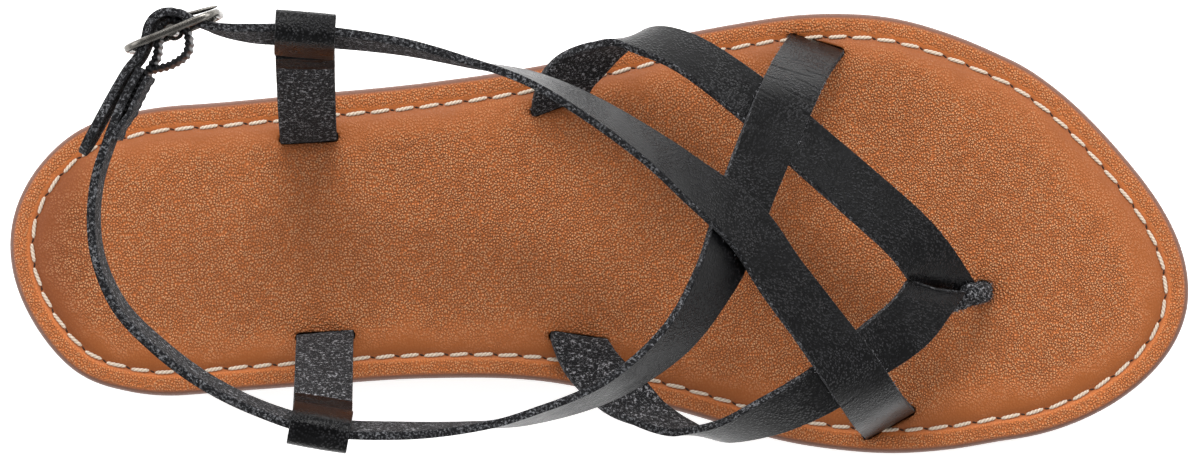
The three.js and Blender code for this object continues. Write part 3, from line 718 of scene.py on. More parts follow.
def crease_depth(creases, along, across, half, count, lengths):
    """How far the smooth face is pressed in at one place."""
    depth = 0.0
    for crease in creases:
        middle = float(np.interp(crease.way / count, *lengths))
        waver = CREASE_WAVER * math.sin(across / CREASE_WAVE + crease.way * CREASE_SHIFT)
        off = along - middle - math.tan(math.radians(crease.tilt)) * across - waver
        if abs(off) > CREASE_LIMIT * crease.broad:
            continue
        from_edge = (half - crease.edge * across) / (2 * half)
        window = 1 - smoothstep(from_edge, crease.reach * 0.5, crease.reach)
        trough = math.exp(-(off / crease.broad) ** 2)
        from_ridge = abs(off) - RIDGE_PLACE * crease.broad
        ridge = RIDGE_HEIGHT * math.exp(-(from_ridge / crease.broad) ** 2)
        depth += crease.deep * window * (trough - ridge)
    return depth


def strip_object(name, spots, width, thickness, side, creases=(), round_end=0.0, end=SQUARE_END):
    """A cut leather strip. Side is 1 where the smooth face lies on the frames' face, else -1."""
    path = Path(spots)
    ts, run = path.even(STRIP_STEP)
    lengths = path.lengths()
    section = strip_section(width, thickness)
    points, lay = [], []
    for t, along in zip(ts, run):
        at = path.at(t)
        level = at
        left = run[-1] - along
        narrow = 1.0
        if round_end and left < round_end:
            narrow = max(NARROWEST_TIP, math.sqrt(1 - (1 - left / round_end) ** 2))
        for across, through, kind in section:
            a, b = across * narrow, through
            if end.reach and left < END_EASE:
                share = across / width
                short = end.reach * (0.5 - share) - end.bow * (1 - 4 * share ** 2)
                spot = along - short * smoothstep(END_EASE - left, 0, END_EASE)
                level = path.at(float(np.interp(spot, lengths[1], lengths[0])))
                dive = end.tuck * max(0.0, 1 - left / end.roll) ** 2
                level = level._replace(place=level.place - np.array((0, 0, dive)))
            if kind == FACE and creases:
                b -= crease_depth(creases, along, across, width / 2, path.count, lengths)
            if kind == EDGE:
                a += abs(wobble(along, across * 100 + 1, FRAY_PITCH)) * EDGE_FRAY
            points.append(level.place + level.down * a + level.face * (b * side))
            lay.append((along, across, through))
    count = len(section)
    faces = ring_faces(len(ts), count)
    kinds = []
    for k in range(count):
        here, after = section[k][2], section[(k + 1) % count][2]
        kinds.append(EDGE if EDGE in (here, after) and not here == after == FACE else here)
    material = [kinds[i % count] for i in range(len(faces))]
    for first in (0, len(points) - count):
        centre = len(points)
        points.append(np.mean(points[first:first + count], axis=0))
        lay.append((run[0] if first == 0 else run[-1], 0, 0))
        faces += [(first + k, first + (k + 1) % count, centre) for k in range(count)]
        material += [EDGE] * count
    materials = [strap_face_material(), cut_edge_material(), suede_material()]
    piece = new_object(name, points, faces, materials, material)
    set_point_values(piece.data, "lay", lay)
    return piece


# Materials

GRAIN_SHIFT = 0.5 * MM


class Shader:
    """A material's node tree, built in short steps."""

    def __init__(self, name):
        self.material = bpy.data.materials.new(name)
        self.material.use_nodes = True
        self.tree = self.material.node_tree
        self.surface = self.tree.nodes["Principled BSDF"]

    def node(self, kind, inputs=None, **settings):
        made = self.tree.nodes.new(kind)
        for key, value in settings.items():
            setattr(made, key, value)
        for key, value in (inputs or {}).items():
            self.put(made.inputs[key], value)
        return made

    def put(self, socket, value):
        if isinstance(value, bpy.types.NodeSocket):
            self.tree.links.new(value, socket)
        else:
            socket.default_value = value

    def place(self):
        return self.node("ShaderNodeTexCoord").outputs["Object"]

    def attribute(self, name, output="Fac"):
        return self.node("ShaderNodeAttribute", attribute_name=name).outputs[output]

    def math(self, operation, *values):
        made = self.node("ShaderNodeMath", operation=operation)
        for socket, value in zip(made.inputs, values):
            self.put(socket, value)
        return made.outputs[0]

    def times(self, first, second):
        return self.math("MULTIPLY", first, second)

    def stretch(self, vector, scale):
        made = self.node("ShaderNodeVectorMath", {0: vector, 1: scale}, operation="MULTIPLY")
        return made.outputs[0]

    def noise(self, vector, pitch, detail=2.0, roughness=0.5):
        inputs = {"Vector": vector, "Scale": 1 / pitch, "Detail": detail, "Roughness": roughness}
        return self.node("ShaderNodeTexNoise", inputs).outputs["Fac"]

    def warped(self, vector, pitch):
        """Places shifted a little to and fro, so that a grain's cells don't lie in rows."""
        sway = self.node("ShaderNodeTexNoise", {"Vector": vector, "Scale": 1 / pitch, "Detail": 1.0})
        shift = self.stretch(sway.outputs["Color"], (GRAIN_SHIFT,) * 3)
        return self.node("ShaderNodeVectorMath", {0: vector, 1: shift}, operation="ADD").outputs[0]

    def cells(self, vector, pitch, feature="F1"):
        """Distance in a pattern of rounded cells that lies flat, as seen from above."""
        inputs = {"Vector": vector, "Scale": 1 / pitch}
        made = self.node("ShaderNodeTexVoronoi", inputs, feature=feature, voronoi_dimensions="2D")
        return made.outputs["Distance"]

    def ramp(self, value, low, high, start=0.0, end=1.0):
        inputs = {"Value": value, "From Min": low, "From Max": high, "To Min": start, "To Max": end}
        made = self.node("ShaderNodeMapRange", inputs, interpolation_type="SMOOTHSTEP")
        return made.outputs["Result"]

    def mix(self, factor, first, second):
        made = self.node("ShaderNodeMix", data_type="RGBA")
        sockets = (made.inputs[0], made.inputs[6], made.inputs[7])
        for socket, value in zip(sockets, (factor, first, second)):
            self.put(socket, (*value, 1) if isinstance(value, tuple) else value)
        return made.outputs[2]

    def bump(self, height, depth, before=None):
        inputs = {"Height": height, "Distance": depth, "Strength": 1.0}
        made = self.node("ShaderNodeBump", inputs)
        if before:
            self.put(made.inputs["Normal"], before)
        return made.outputs["Normal"]

    def set(self, **values):
        for key, value in values.items():
            self.put(self.surface.inputs[key.replace("_", " ")], value)
        return self.material


def finish(name):
    """Makes the finish of that name once, and gives the same material to later pieces."""
    def wrap(build):
        def give():
            return bpy.data.materials.get(name) or build(Shader(name))
        return give
    return wrap


# Second colours of the finishes, laid over those that a user can change
SMOOTH_TAN = linear(142, 77, 31)
DRIFT_TAN = linear(152, 86, 45)
WORN_TAN = linear(126, 64, 25)
FURROW_TAN = linear(132, 70, 35)
# Painted highlight on the pebbles' tops of the footbed's grain
SPECK_HIGHLIGHT_TAN = linear(228, 163, 114)
# Painted shade in the groove along the footbed's stitching
SEAM_SHADE_TAN = linear(104, 58, 34)
# Painted shade in the dimples round the slots and the toe post
HOLLOW_SHADE_TAN = linear(84, 46, 26)
WORN_BLACK = linear(20, 20, 22)
# Painted highlight on the grain's tops of the straps' smooth face
GRAIN_TOP_HIGHLIGHT = linear(66, 66, 70)
SUEDE_FLECK = linear(158, 158, 162)
CUT_EDGE_DARK = linear(21, 21, 23)
CUT_EDGE_PALE = linear(128, 129, 133)
FIBRE_DARK = linear(70, 70, 74)
FIBRE_PALE = linear(196, 196, 200)
# Darker fibres of the cream thread, and painted shade between its plies
CREAM_THREAD_DARK_AND_SHADE = linear(150, 120, 92)
BLACK_THREAD = linear(44, 44, 48)
BLACK_THREAD_DARK = linear(20, 20, 22)
# Painted shade of the needle holes
HOLE_SHADE_BROWN = linear(58, 32, 20)
HOLE_SHADE_DARK = linear(40, 23, 15)
# Painted highlight on the elastic's weave
ELASTIC_WEAVE_HIGHLIGHT = linear(33, 33, 36)
SOLE_DUST = linear(96, 66, 50)
NICKEL_PATINA = linear(72, 68, 62)

# Where the footbed's zones fade from none to full, as distances from its edge
PAD_ZONE = (5.5 * MM, 15 * MM)
RIM_ZONE = (4.4 * MM, 3.4 * MM)
BAND_ZONE = (1.5 * MM, 0.7 * MM)
INSIDE_ZONE = (4.6 * MM, 6 * MM)
# Band along the stitching's groove where shade is painted
SEAM_SHADE_OUTER = (4.0 * MM, 4.8 * MM)
SEAM_SHADE_INNER = (6.0 * MM, 5.3 * MM)

# Where the wear at the heel fades from none to full, along the sole
HEEL_WEAR = (-12 * MM, -26 * MM)


@finish("footbed_cover")
def footbed_material(s):
    """Tan leather-look cover: pebbled grain with painted highlights on its pebbles, smoother inside the
    stitching, plain at the edge, with painted shade in the seam's groove and round the slots and the toe
    post.
    """
    tan, edge = tuple(colours().footbed_tan), tuple(colours().edge_tan)
    place = s.place()
    drift = s.noise(place, 9 * MM, 2)
    pebble = sizes().pebble
    warp = s.stretch(s.warped(place, 1.6 * MM), (1.0, 0.86, 1.0))
    cell = s.cells(warp, pebble)
    furrow = s.ramp(s.cells(warp, pebble, "DISTANCE_TO_EDGE"), 0.02, 0.25)
    inset = s.attribute("edge_distance")
    hollow_shade = s.attribute("hollow_shade")
    uneven = s.times(s.math("SUBTRACT", drift, 0.5), 10 * MM)
    pad = s.ramp(s.math("ADD", inset, uneven), *PAD_ZONE)
    rim = s.ramp(inset, *RIM_ZONE)
    band = s.ramp(inset, *BAND_ZONE)
    grain = s.math("MAXIMUM", pad, s.times(rim, 0.75))
    grain = s.math("ADD", s.times(grain, 0.95), 0.05)
    grain = s.times(grain, s.math("SUBTRACT", 1.0, band))
    # Painted highlights: pale specks on the pebbles' tops, in patches
    patchy_glint = s.ramp(s.noise(place, 2.2 * MM, 2), 0.32, 0.62, 0.35, 1.0)
    glint_speck = s.times(s.ramp(cell, 0.48, 0.14), patchy_glint)
    gap = s.math("SUBTRACT", 1.0, furrow)
    inside = s.ramp(inset, *INSIDE_ZONE)
    smooth = s.times(s.math("SUBTRACT", 1.0, grain), inside)
    colour = s.mix(s.times(smooth, 0.92), tan, SMOOTH_TAN)
    colour = s.mix(s.ramp(drift, 0.35, 0.7, 0.0, 0.2), colour, DRIFT_TAN)
    spot = s.node("ShaderNodeSeparateXYZ", {0: place}).outputs["X"]
    worn = s.times(s.ramp(spot, *HEEL_WEAR), inside)
    colour = s.mix(s.times(worn, 0.85), colour, WORN_TAN)
    colour = s.mix(s.times(gap, s.times(grain, 0.85)), colour, FURROW_TAN)
    # Lay the painted highlights on the pebbles' tops
    colour = s.mix(s.times(glint_speck, s.times(grain, 0.9)), colour, SPECK_HIGHLIGHT_TAN)
    colour = s.mix(band, colour, edge)
    # Painted shade in the groove along the stitching
    seam = s.times(s.ramp(inset, *SEAM_SHADE_OUTER), s.ramp(inset, *SEAM_SHADE_INNER))
    colour = s.mix(s.times(seam, 0.45), colour, SEAM_SHADE_TAN)
    # Painted shade in the dimples round the slots and the toe post
    colour = s.mix(s.times(hollow_shade, 0.5), colour, HOLLOW_SHADE_TAN)
    dome = s.ramp(cell, 0.6, 0.05)
    height = s.times(s.math("ADD", dome, s.times(furrow, 0.5)), grain)
    normal = s.bump(height, 0.25 * MM)
    normal = s.bump(s.noise(place, 0.35 * MM, 3), 0.05 * MM, normal)
    rough = s.math("SUBTRACT", 0.56, s.times(glint_speck, 0.14))
    return s.set(Base_Color=colour, Roughness=rough, Normal=normal, Specular_IOR_Level=0.3)


@finish("strap_face")
def strap_face_material(s):
    """Smooth black outer face with fine grain, painted highlights on the grain's tops, and short cross
    wrinkles.
    """
    black = tuple(colours().strap_black)
    place, lay = s.place(), s.attribute("lay", "Vector")
    cell = {"Vector": s.warped(place, 1.1 * MM), "Scale": 1 / (0.52 * MM)}
    grain = s.node("ShaderNodeTexVoronoi", cell).outputs["Distance"]
    strength = s.ramp(s.noise(place, 9 * MM, 1), 0.35, 0.65, 0.35, 1.0)
    # Painted highlights on the grain's tops, in patches
    top = s.times(s.ramp(grain, 0.46, 0.1), strength)
    grain = s.times(s.ramp(grain, 0.7, 0.0), strength)
    wrinkle = s.noise(s.stretch(lay, (1.0, 0.16, 0.16)), 1.0 * MM, 1.5, 0.5)
    patch = s.ramp(s.noise(s.stretch(lay, (1.0, 0.5, 0.5)), 7 * MM, 2), 0.42, 0.68)
    worn = s.noise(place, 3 * MM, 3)
    colour = s.mix(s.ramp(worn, 0.4, 0.75, 0.0, 0.4), black, WORN_BLACK)
    # Lay the painted highlights on the grain's tops
    colour = s.mix(s.times(top, 0.45), colour, GRAIN_TOP_HIGHLIGHT)
    normal = s.bump(grain, 0.12 * MM)
    deep = s.times(wrinkle, s.math("ADD", s.times(patch, 0.85), 0.15))
    normal = s.bump(deep, 0.12 * MM, normal)
    rough = s.ramp(worn, 0.3, 0.8, 0.27, 0.35)
    return s.set(Base_Color=colour, Roughness=rough, Normal=normal, Specular_IOR_Level=0.14)


@finish("strap_suede")
def suede_material(s):
    """Charcoal suede with paler fibres."""
    base = tuple(colours().suede_black)
    place = s.place()
    nap = s.noise(place, 0.75 * MM, 4, 0.72)
    fine = s.noise(place, 0.33 * MM, 3, 0.7)
    tuft = s.noise(place, 2.6 * MM, 2)
    fleck = s.math("MAXIMUM", s.ramp(nap, 0.54, 0.64), s.times(s.ramp(fine, 0.57, 0.68), 0.8))
    colour = s.mix(s.times(fleck, s.ramp(tuft, 0.3, 0.6, 0.5, 1.0)), base, SUEDE_FLECK)
    normal = s.bump(nap, 0.3 * MM)
    normal = s.bump(fine, 0.08 * MM, normal)
    return s.set(Base_Color=colour, Roughness=0.95, Normal=normal, Sheen_Weight=0.04,
                 Sheen_Roughness=0.5, Specular_IOR_Level=0.15)


@finish("strap_cut_edge")
def cut_edge_material(s):
    """Raw cut edge of the straps: grey fibres in a dark ground."""
    place = s.place()
    fibre = s.noise(place, 0.55 * MM, 4, 0.72)
    clump = s.ramp(s.noise(place, 2.4 * MM, 2), 0.3, 0.65, 0.35, 1.0)
    fleck = s.times(s.ramp(fibre, 0.48, 0.66), clump)
    colour = s.mix(fleck, CUT_EDGE_DARK, CUT_EDGE_PALE)
    normal = s.bump(fibre, 0.3 * MM)
    return s.set(Base_Color=colour, Roughness=0.92, Normal=normal, Sheen_Weight=0.04, Sheen_Roughness=0.5,
                 Specular_IOR_Level=0.15)


@finish("leather_fibre")
def fibre_material(s):
    """Loose pale fibres of the cut edges."""
    tone = s.mix(s.noise(s.place(), 1.5 * MM, 2), FIBRE_DARK, FIBRE_PALE)
    return s.set(Base_Color=tone, Roughness=0.8, Specular_IOR_Level=0.2)


def thread_material(name, colour, dark_and_shade):
    """Two-ply thread with painted shade between its plies, and darker fibres here and there."""
    s = Shader(name)
    place = s.place()
    fibre = s.noise(place, 0.18 * MM, 3)
    ply_shade = s.attribute("ply_shade")
    tone = s.mix(s.ramp(fibre, 0.35, 0.7, 0.0, 0.35), colour, dark_and_shade)
    # Painted shade where the two plies meet
    tone = s.mix(s.times(ply_shade, 0.6), tone, dark_and_shade)
    return s.set(Base_Color=tone, Roughness=0.7, Normal=s.bump(fibre, 0.05 * MM), Sheen_Weight=0.2)


@finish("needle_hole_shade")
def hole_shade_material(s):
    """Painted shade of the needle holes, on dark beads that lie over them."""
    tone = s.mix(s.ramp(s.noise(s.place(), 0.3 * MM, 2), 0.4, 0.7), HOLE_SHADE_BROWN, HOLE_SHADE_DARK)
    return s.set(Base_Color=tone, Roughness=0.9)


@finish("elastic_web")
def elastic_material(s):
    """Woven black elastic with painted highlights on its weave."""
    lay = s.attribute("lay", "Vector")
    weave = s.noise(s.stretch(lay, (1.0, 0.4, 0.4)), 0.35 * MM, 3)
    # Painted highlights on the weave
    tone = s.mix(s.ramp(weave, 0.46, 0.7, 0.0, 0.7), tuple(colours().elastic_black), ELASTIC_WEAVE_HIGHLIGHT)
    return s.set(Base_Color=tone, Roughness=0.45, Normal=s.bump(weave, 0.06 * MM), Specular_IOR_Level=0.25)


@finish("sole_rubber")
def sole_material(s):
    """Moulded brown rubber, a little dusty."""
    place = s.place()
    skin = s.noise(place, 0.5 * MM, 3)
    dust = s.noise(place, 14 * MM, 3)
    brown = tuple(colours().sole_brown)
    tone = s.mix(s.ramp(dust, 0.4, 0.75, 0.0, 0.3), brown, SOLE_DUST)
    rough = s.ramp(skin, 0.3, 0.7, 0.55, 0.75)
    return s.set(Base_Color=tone, Roughness=rough, Normal=s.bump(skin, 0.05 * MM))


@finish("buckle_nickel")
def nickel_material(s):
    """Antique nickel: brushed, with dark patina."""
    place = s.place()
    brushed = s.noise(s.stretch(place, (1.0, 1.0, 0.08)), 0.25 * MM, 3)
    patina = s.noise(place, 3 * MM, 3)
    tone = s.mix(s.ramp(patina, 0.5, 0.75, 0.0, 0.45), tuple(colours().nickel), NICKEL_PATINA)
    rough = s.ramp(brushed, 0.3, 0.7, 0.2, 0.36)
    return s.set(Base_Color=tone, Metallic=1.0, Roughness=rough, Normal=s.bump(brushed, 0.002 * MM))


# Sole

SOLE_STATIONS = 300
SOLE_ACROSS = 56
TREAD_PITCH = 6.5 * MM
TREAD_GROOVE = 1.9 * MM
TREAD_DEPTH = 0.8 * MM
TREAD_WAVE = 2.4 * MM
TREAD_WAVELENGTH = 15 * MM
TREAD_MARGIN = 6 * MM
TREAD_FADE = 1.5 * MM
HEEL_TREAD_END = (BREAST_EDGE - 0.03, BREAST_EDGE - 0.018)
FORE_TREAD_START = (TREAD_START + 0.01, TREAD_START + 0.022)
GROOVE_FLOOR = 0.25
GROOVE_TOP = 0.6
ROUNDING_STEPS = 5
LIP_START = 0.1 * MM
LIP_END = 0.4 * MM
LIP_DROP = 0.3 * MM
SEAT_ACROSS = 8

# Moulded line round the outsole's side: share of its height, and how deep it is pressed in
Band = namedtuple("Band", "share dent")
SIDE_BANDS = [
    Band(0.3, 0),
    Band(0.52, 0),
    Band(0.56, 0.25 * MM),
    Band(0.6, 0.25 * MM),
    Band(0.64, 0),
    Band(0.9, 0),
]


def tread_groove(x, y, inset):
    """Depth of the moulded wavy grooves under heel and forefoot."""
    along = share_at(x)
    wave = TREAD_WAVE * np.sin(y / TREAD_WAVELENGTH * 2 * math.pi)
    phase = np.abs(((x + wave) / TREAD_PITCH) % 1 - 0.5) * TREAD_PITCH
    groove = 1 - smoothstep(phase, TREAD_GROOVE * GROOVE_FLOOR, TREAD_GROOVE * GROOVE_TOP)
    inside = smoothstep(inset, TREAD_MARGIN, TREAD_MARGIN + TREAD_FADE)
    heel = 1 - smoothstep(along, *HEEL_TREAD_END)
    fore = smoothstep(along, *FORE_TREAD_START)
    return TREAD_DEPTH * groove * inside * (heel + fore)


def outsole_levels():
    """Rings of the outsole's side, from below: inset from the footbed's edge, and height."""
    levels = []
    for turn in np.linspace(0, math.pi / 2, ROUNDING_STEPS):
        inset = SIDE_SETBACK + SIDE_ROUNDING * (1 - math.sin(turn))
        levels.append((inset, lambda a, t=turn: tread_at(a) + SIDE_ROUNDING * (1 - math.cos(t))))
    for band in SIDE_BANDS:
        def height(a, q=band.share):
            low, high = tread_at(a) + SIDE_ROUNDING, seat_at(a) - SIDE_ROUNDING / 2
            return low + (high - low) * q
        levels.append((SIDE_SETBACK + band.dent, height))
    levels.append((SIDE_SETBACK + LIP_START, lambda a: seat_at(a) - LIP_DROP))
    levels.append((SIDE_SETBACK + LIP_END, seat_at))
    return levels


def build_outsole():
    outline, outward = make_outline(SOLE_STATIONS)
    count = len(outline)
    points = []
    for inset, height in outsole_levels():
        spots = outline - outward * inset
        heights = height(share_at(spots[:, 0]))
        points += [[x, y, z] for (x, y), z in zip(spots, heights)]
    rings = len(points) // count
    faces = ring_faces(rings, count)
    faces += plate_rows(points, 0, count, SOLE_ACROSS)
    first_new = rings * count
    new = np.array(points[first_new:])
    inset = distance_inside(new[:, :2], outline)
    lift = tread_at(share_at(new[:, 0])) + tread_groove(new[:, 0], new[:, 1], inset)
    for i, z in enumerate(lift):
        points[first_new + i][2] = z
    faces += plate_rows(points, (rings - 1) * count, count, SEAT_ACROSS)
    piece = new_object("moulded_outsole", points, faces, [sole_material()])
    finish_piece(piece, "sole_rubber", "outsole")


# Footbed

FOOTBED_STATIONS = 240
FOOTBED_ACROSS = 52
BASE_ACROSS = 12
FOOT_SETBACK = 0.2
FOOT_RISE = 0.12
ROLL_STEPS = 7
RING_STEP = 0.42 * MM
RING_END = 12.5 * MM
SEAM_DEPTH = 0.38 * MM
SEAM_WIDTH = 0.95 * MM
RIM_DOME = 0.18 * MM
SLOT_ROOM = 0.35 * MM
SLOT_LIP = 0.5 * MM
SLOT_CORNER = 0.9
SLOT_CORNER_STEPS = 4
PAD_CURVE = 2.2
ROLL_FOOT = 0.3
TOP_SHARE = 0.4


def slot_list():
    """Slots of the footbed: row, width and thickness of what passes through."""
    width = sizes().strap_width
    slots = [(rows[0], width, STRAP_THICKNESS) for rows in STRAP_ROWS.values()]
    slots += [(row, TAB_WIDTH, TAB_THICKNESS) for row in (OUTER_SLOT, INNER_SLOT)]
    return slots


def trough_share(x, y, place, trough, swing):
    """How deep in one soft trough a place lies, from 0 to 1."""
    c, s = math.cos(math.radians(swing)), math.sin(math.radians(swing))
    dx, dy = x - place[0], y - place[1]
    long, wide = dx * c + dy * s, dy * c - dx * s
    return np.exp(-(np.abs(long) / trough.long) ** 3) * np.exp(-(wide / trough.wide) ** 2)


def hollow_at(x, y):
    """Depth of all troughs, and the share that lies in the tight ones, which the footbed's colour uses as
    painted shade.
    """
    depth = np.zeros_like(x)
    tight_shade = np.zeros_like(x)
    for row, _, _ in slot_list():
        place = (length_at(row.along), row.across * BALL_WIDTH)
        share = trough_share(x, y, place, SLOT_TROUGH, row.swing)
        depth += share * SLOT_TROUGH.deep
        tight_shade = np.maximum(tight_shade, share)
    post = TOE_POST[0]
    share = trough_share(x, y, (length_at(post.along), post.across * BALL_WIDTH), POST_TROUGH, 0)
    depth += share * POST_TROUGH.deep
    tight_shade = np.maximum(tight_shade, share)
    for trough in TROUGHS:
        place = (length_at(trough.along), trough.across * BALL_WIDTH)
        depth += trough_share(x, y, place, trough, 0) * trough.deep
    return depth, tight_shade


def footbed_height(x, y, inset):
    """Height of the footbed's top, with its seam, padding and troughs."""
    base = seat_at(share_at(x)) + GAP + FOOTBED_THICKNESS
    rise = np.clip((inset - STITCH_INSET) / PAD_SLOPE, 0, 1)
    pad = FOOTBED_CROWN * (1 - (1 - rise) ** PAD_CURVE)
    rim = RIM_DOME * np.clip(inset / STITCH_INSET, 0, 1) * np.clip(1 - inset / STITCH_INSET, 0, 1) * 4
    seam = SEAM_DEPTH * np.exp(-((inset - STITCH_INSET) / SEAM_WIDTH) ** 2)
    depth, _ = hollow_at(x, y)
    return base + pad + rim - seam - depth


def rolled_edge(outline, outward):
    """Rings up the side and over the rolled edge."""
    roll = SIDE_ROLL + (TIP_ROLL - SIDE_ROLL) * outward[:, 0] ** 4
    rings = []

    def ring(inset, rise):
        spots = outline - outward * np.asarray(inset)[..., None]
        heights = seat_at(share_at(spots[:, 0])) + GAP + rise * FOOTBED_THICKNESS
        rings.extend([x, y, z] for (x, y), z in zip(spots, heights))

    ring(np.full(len(outline), BASE_SETBACK), 0)
    ring(np.full(len(outline), BASE_SETBACK * FOOT_SETBACK), FOOT_RISE)
    for turn in np.linspace(0, math.pi / 2, ROLL_STEPS):
        ring(roll * (1 - math.cos(turn)), ROLL_FOOT + (1 - ROLL_FOOT) * math.sin(turn))
    return rings, roll


def footbed_body():
    """Points and faces of the whole footbed before its slots are cut."""
    outline, outward = make_outline(FOOTBED_STATIONS)
    count = len(outline)
    points, roll = rolled_edge(outline, outward)
    insets = np.arange(TIP_ROLL + RING_STEP, RING_END, RING_STEP)
    for k, inset in enumerate(insets):
        share = (k + 1) / len(insets)
        own = roll + (insets[-1] - roll) * share
        own = np.where(own > inset, own, np.maximum(own, inset * share + own * (1 - share)))
        spots = outline - outward * own[:, None]
        true = distance_inside(spots, outline)
        heights = footbed_height(spots[:, 0], spots[:, 1], true)
        points += [[x, y, z] for (x, y), z in zip(spots, heights)]
    rings = len(points) // count
    faces = ring_faces(rings, count)
    faces += plate_rows(points, 0, count, BASE_ACROSS)
    start = len(points)
    faces += plate_rows(points, (rings - 1) * count, count, FOOTBED_ACROSS)
    inner = np.array(points[start:])
    true = distance_inside(inner[:, :2], outline)
    for i, z in enumerate(footbed_height(inner[:, 0], inner[:, 1], true)):
        points[start + i][2] = z
    return points, faces, outline


def slot_cutter():
    """Blocks that open the slots, with rounded ends, and a round block for the toe post."""
    points, faces = [], []
    blocks = [(row, width / 2 + SLOT_ROOM, thick / 2 + SLOT_ROOM) for row, width, thick in slot_list()]
    blocks.append((TOE_POST[0], POST_THICKNESS / 2 + SLOT_LIP, POST_WIDTH / 2 + SLOT_LIP))
    for row, half, thin in blocks:
        swing = 0 if row is TOE_POST[0] else math.radians(row.swing)
        c, s = math.cos(swing), math.sin(swing)
        centre = placed(row).place
        loop = rounded_loop(2 * half, 2 * thin, min(half, thin) * SLOT_CORNER, SLOT_CORNER_STEPS)
        ring = [(x * c - y * s, x * s + y * c) for (x, y), _ in loop]
        first = len(points)
        for z in (-HEEL_HEIGHT / 2, HEEL_HEIGHT / 2):
            points += [(centre[0] + x, centre[1] + y, centre[2] + z) for x, y in ring]
        sides = len(ring)
        faces += ring_faces(2, sides, first)
        faces.append(tuple(first + k for k in reversed(range(sides))))
        faces.append(tuple(first + sides + k for k in range(sides)))
    return new_object("slot_cutter", points, faces, [footbed_material()])


def apply_cut(piece, cutter):
    """Cut the cutter's blocks out of the piece, and remove the cutter."""
    cut = piece.modifiers.new("slots", "BOOLEAN")
    cut.operation = "DIFFERENCE"
    cut.solver = "EXACT"
    cut.object = cutter
    bpy.context.view_layer.update()
    graph = bpy.context.evaluated_depsgraph_get()
    mesh = bpy.data.meshes.new_from_object(piece.evaluated_get(graph))
    piece.modifiers.clear()
    old = piece.data
    piece.data = mesh
    bpy.data.meshes.remove(old)
    bpy.data.objects.remove(cutter)


def build_footbed():
    points, faces, outline = footbed_body()
    piece = new_object("padded_footbed", points, faces, [footbed_material()])
    apply_cut(piece, slot_cutter())
    mesh = piece.data
    spots = np.zeros(len(mesh.vertices) * 3)
    mesh.vertices.foreach_get("co", spots)
    spots = spots.reshape(-1, 3)
    inset = distance_inside(spots[:, :2], outline)
    top = seat_at(share_at(spots[:, 0])) + GAP + FOOTBED_THICKNESS * TOP_SHARE
    inset = np.where(spots[:, 2] < top, 0.0, inset)
    _, tight_shade = hollow_at(spots[:, 0], spots[:, 1])
    set_point_values(mesh, "edge_distance", inset)
    # Painted shade in the tight troughs round the slots and the toe post
    set_point_values(mesh, "hollow_shade", tight_shade ** 2)
    mesh.polygons.foreach_set("use_smooth", np.ones(len(mesh.polygons), dtype=bool))
    finish_piece(piece, "footbed_leather", "footbed")


# Stitching of the footbed

STITCH_SIDES = 12
STITCH_STEPS = 30
THREAD_TURNS = 5
THREAD_LOBE = 0.11
STITCH_SLANT = 0.34 * MM
# Sizes of the dark beads that stand for the needle holes' shade
HOLE_SHADE_HALF = 0.5 * MM
HOLE_SHADE_RADIUS = 0.2 * MM
HOLE_SHADE_SLANT = 0.3
LOOK_AHEAD = 0.2 * MM
THREAD_RISE = 0.8
THREAD_DIVE = 2.4
DIVE_START = 0.82
DIVE_LENGTH = 0.18
THREAD_FULL = 1.05
THREAD_TAPER = 0.5
THREAD_FLAT = 0.85
FIRST_STITCH = 0.3
UNEVEN_LENGTH = 0.05
UNEVEN_STEP = 2.4
UP = np.array((0, 0, 1))


def stitch_line():
    """The seam's way round the footbed, as places by length."""
    outline, outward = make_outline(SOLE_STATIONS)
    spots = outline - outward * STITCH_INSET
    spots = np.vstack([spots, spots[:1]])
    steps = np.linalg.norm(np.diff(spots, axis=0), axis=1)
    return spots, np.concatenate([[0], np.cumsum(steps)])


def seam_place(spots, run, length):
    wrapped = length % run[-1]
    x = float(np.interp(wrapped, run, spots[:, 0]))
    y = float(np.interp(wrapped, run, spots[:, 1]))
    z = float(footbed_height(np.array([x]), np.array([y]), np.array([STITCH_INSET]))[0])
    return np.array([x, y, z])


def seam_frame(spots, run, length):
    """A place on the seam, the way along it and the way to its side."""
    here = seam_place(spots, run, length)
    ahead = unit(seam_place(spots, run, length + LOOK_AHEAD) - here)
    return here, ahead, np.cross(ahead, UP)


def one_stitch(spots, run, middle, length, radius):
    """Points, faces and painted shade between the plies of one stitch of two-ply thread, its ends sunk in
    their holes.
    """
    points, ply_shade = [], []
    for i in range(STITCH_STEPS + 1):
        share = i / STITCH_STEPS
        at = middle + (share - 0.5) * length
        here, ahead, side = seam_frame(spots, run, at)
        side = unit(side)
        up = np.cross(side, ahead)
        end = abs(2 * share - 1)
        rise = radius * (THREAD_RISE - THREAD_DIVE * max(0.0, end - DIVE_START) / DIVE_LENGTH)
        full = radius * (THREAD_FULL - THREAD_TAPER * end ** 3)
        here = here - side * (share - 0.5) * STITCH_SLANT
        for k in range(STITCH_SIDES):
            angle = 2 * math.pi * k / STITCH_SIDES
            lobe = math.cos(2 * angle - share * THREAD_TURNS * 2 * math.pi)
            reach = full * (1 + THREAD_LOBE * lobe)
            height = math.sin(angle) * reach * THREAD_FLAT + rise
            points.append(here + side * math.cos(angle) * reach + up * height)
            # Painted shade where the two plies meet
            ply_shade.append(max(0.0, -lobe))
    rings = STITCH_STEPS + 1
    return points, ring_faces(rings, STITCH_SIDES) + cap_faces(rings, STITCH_SIDES), ply_shade


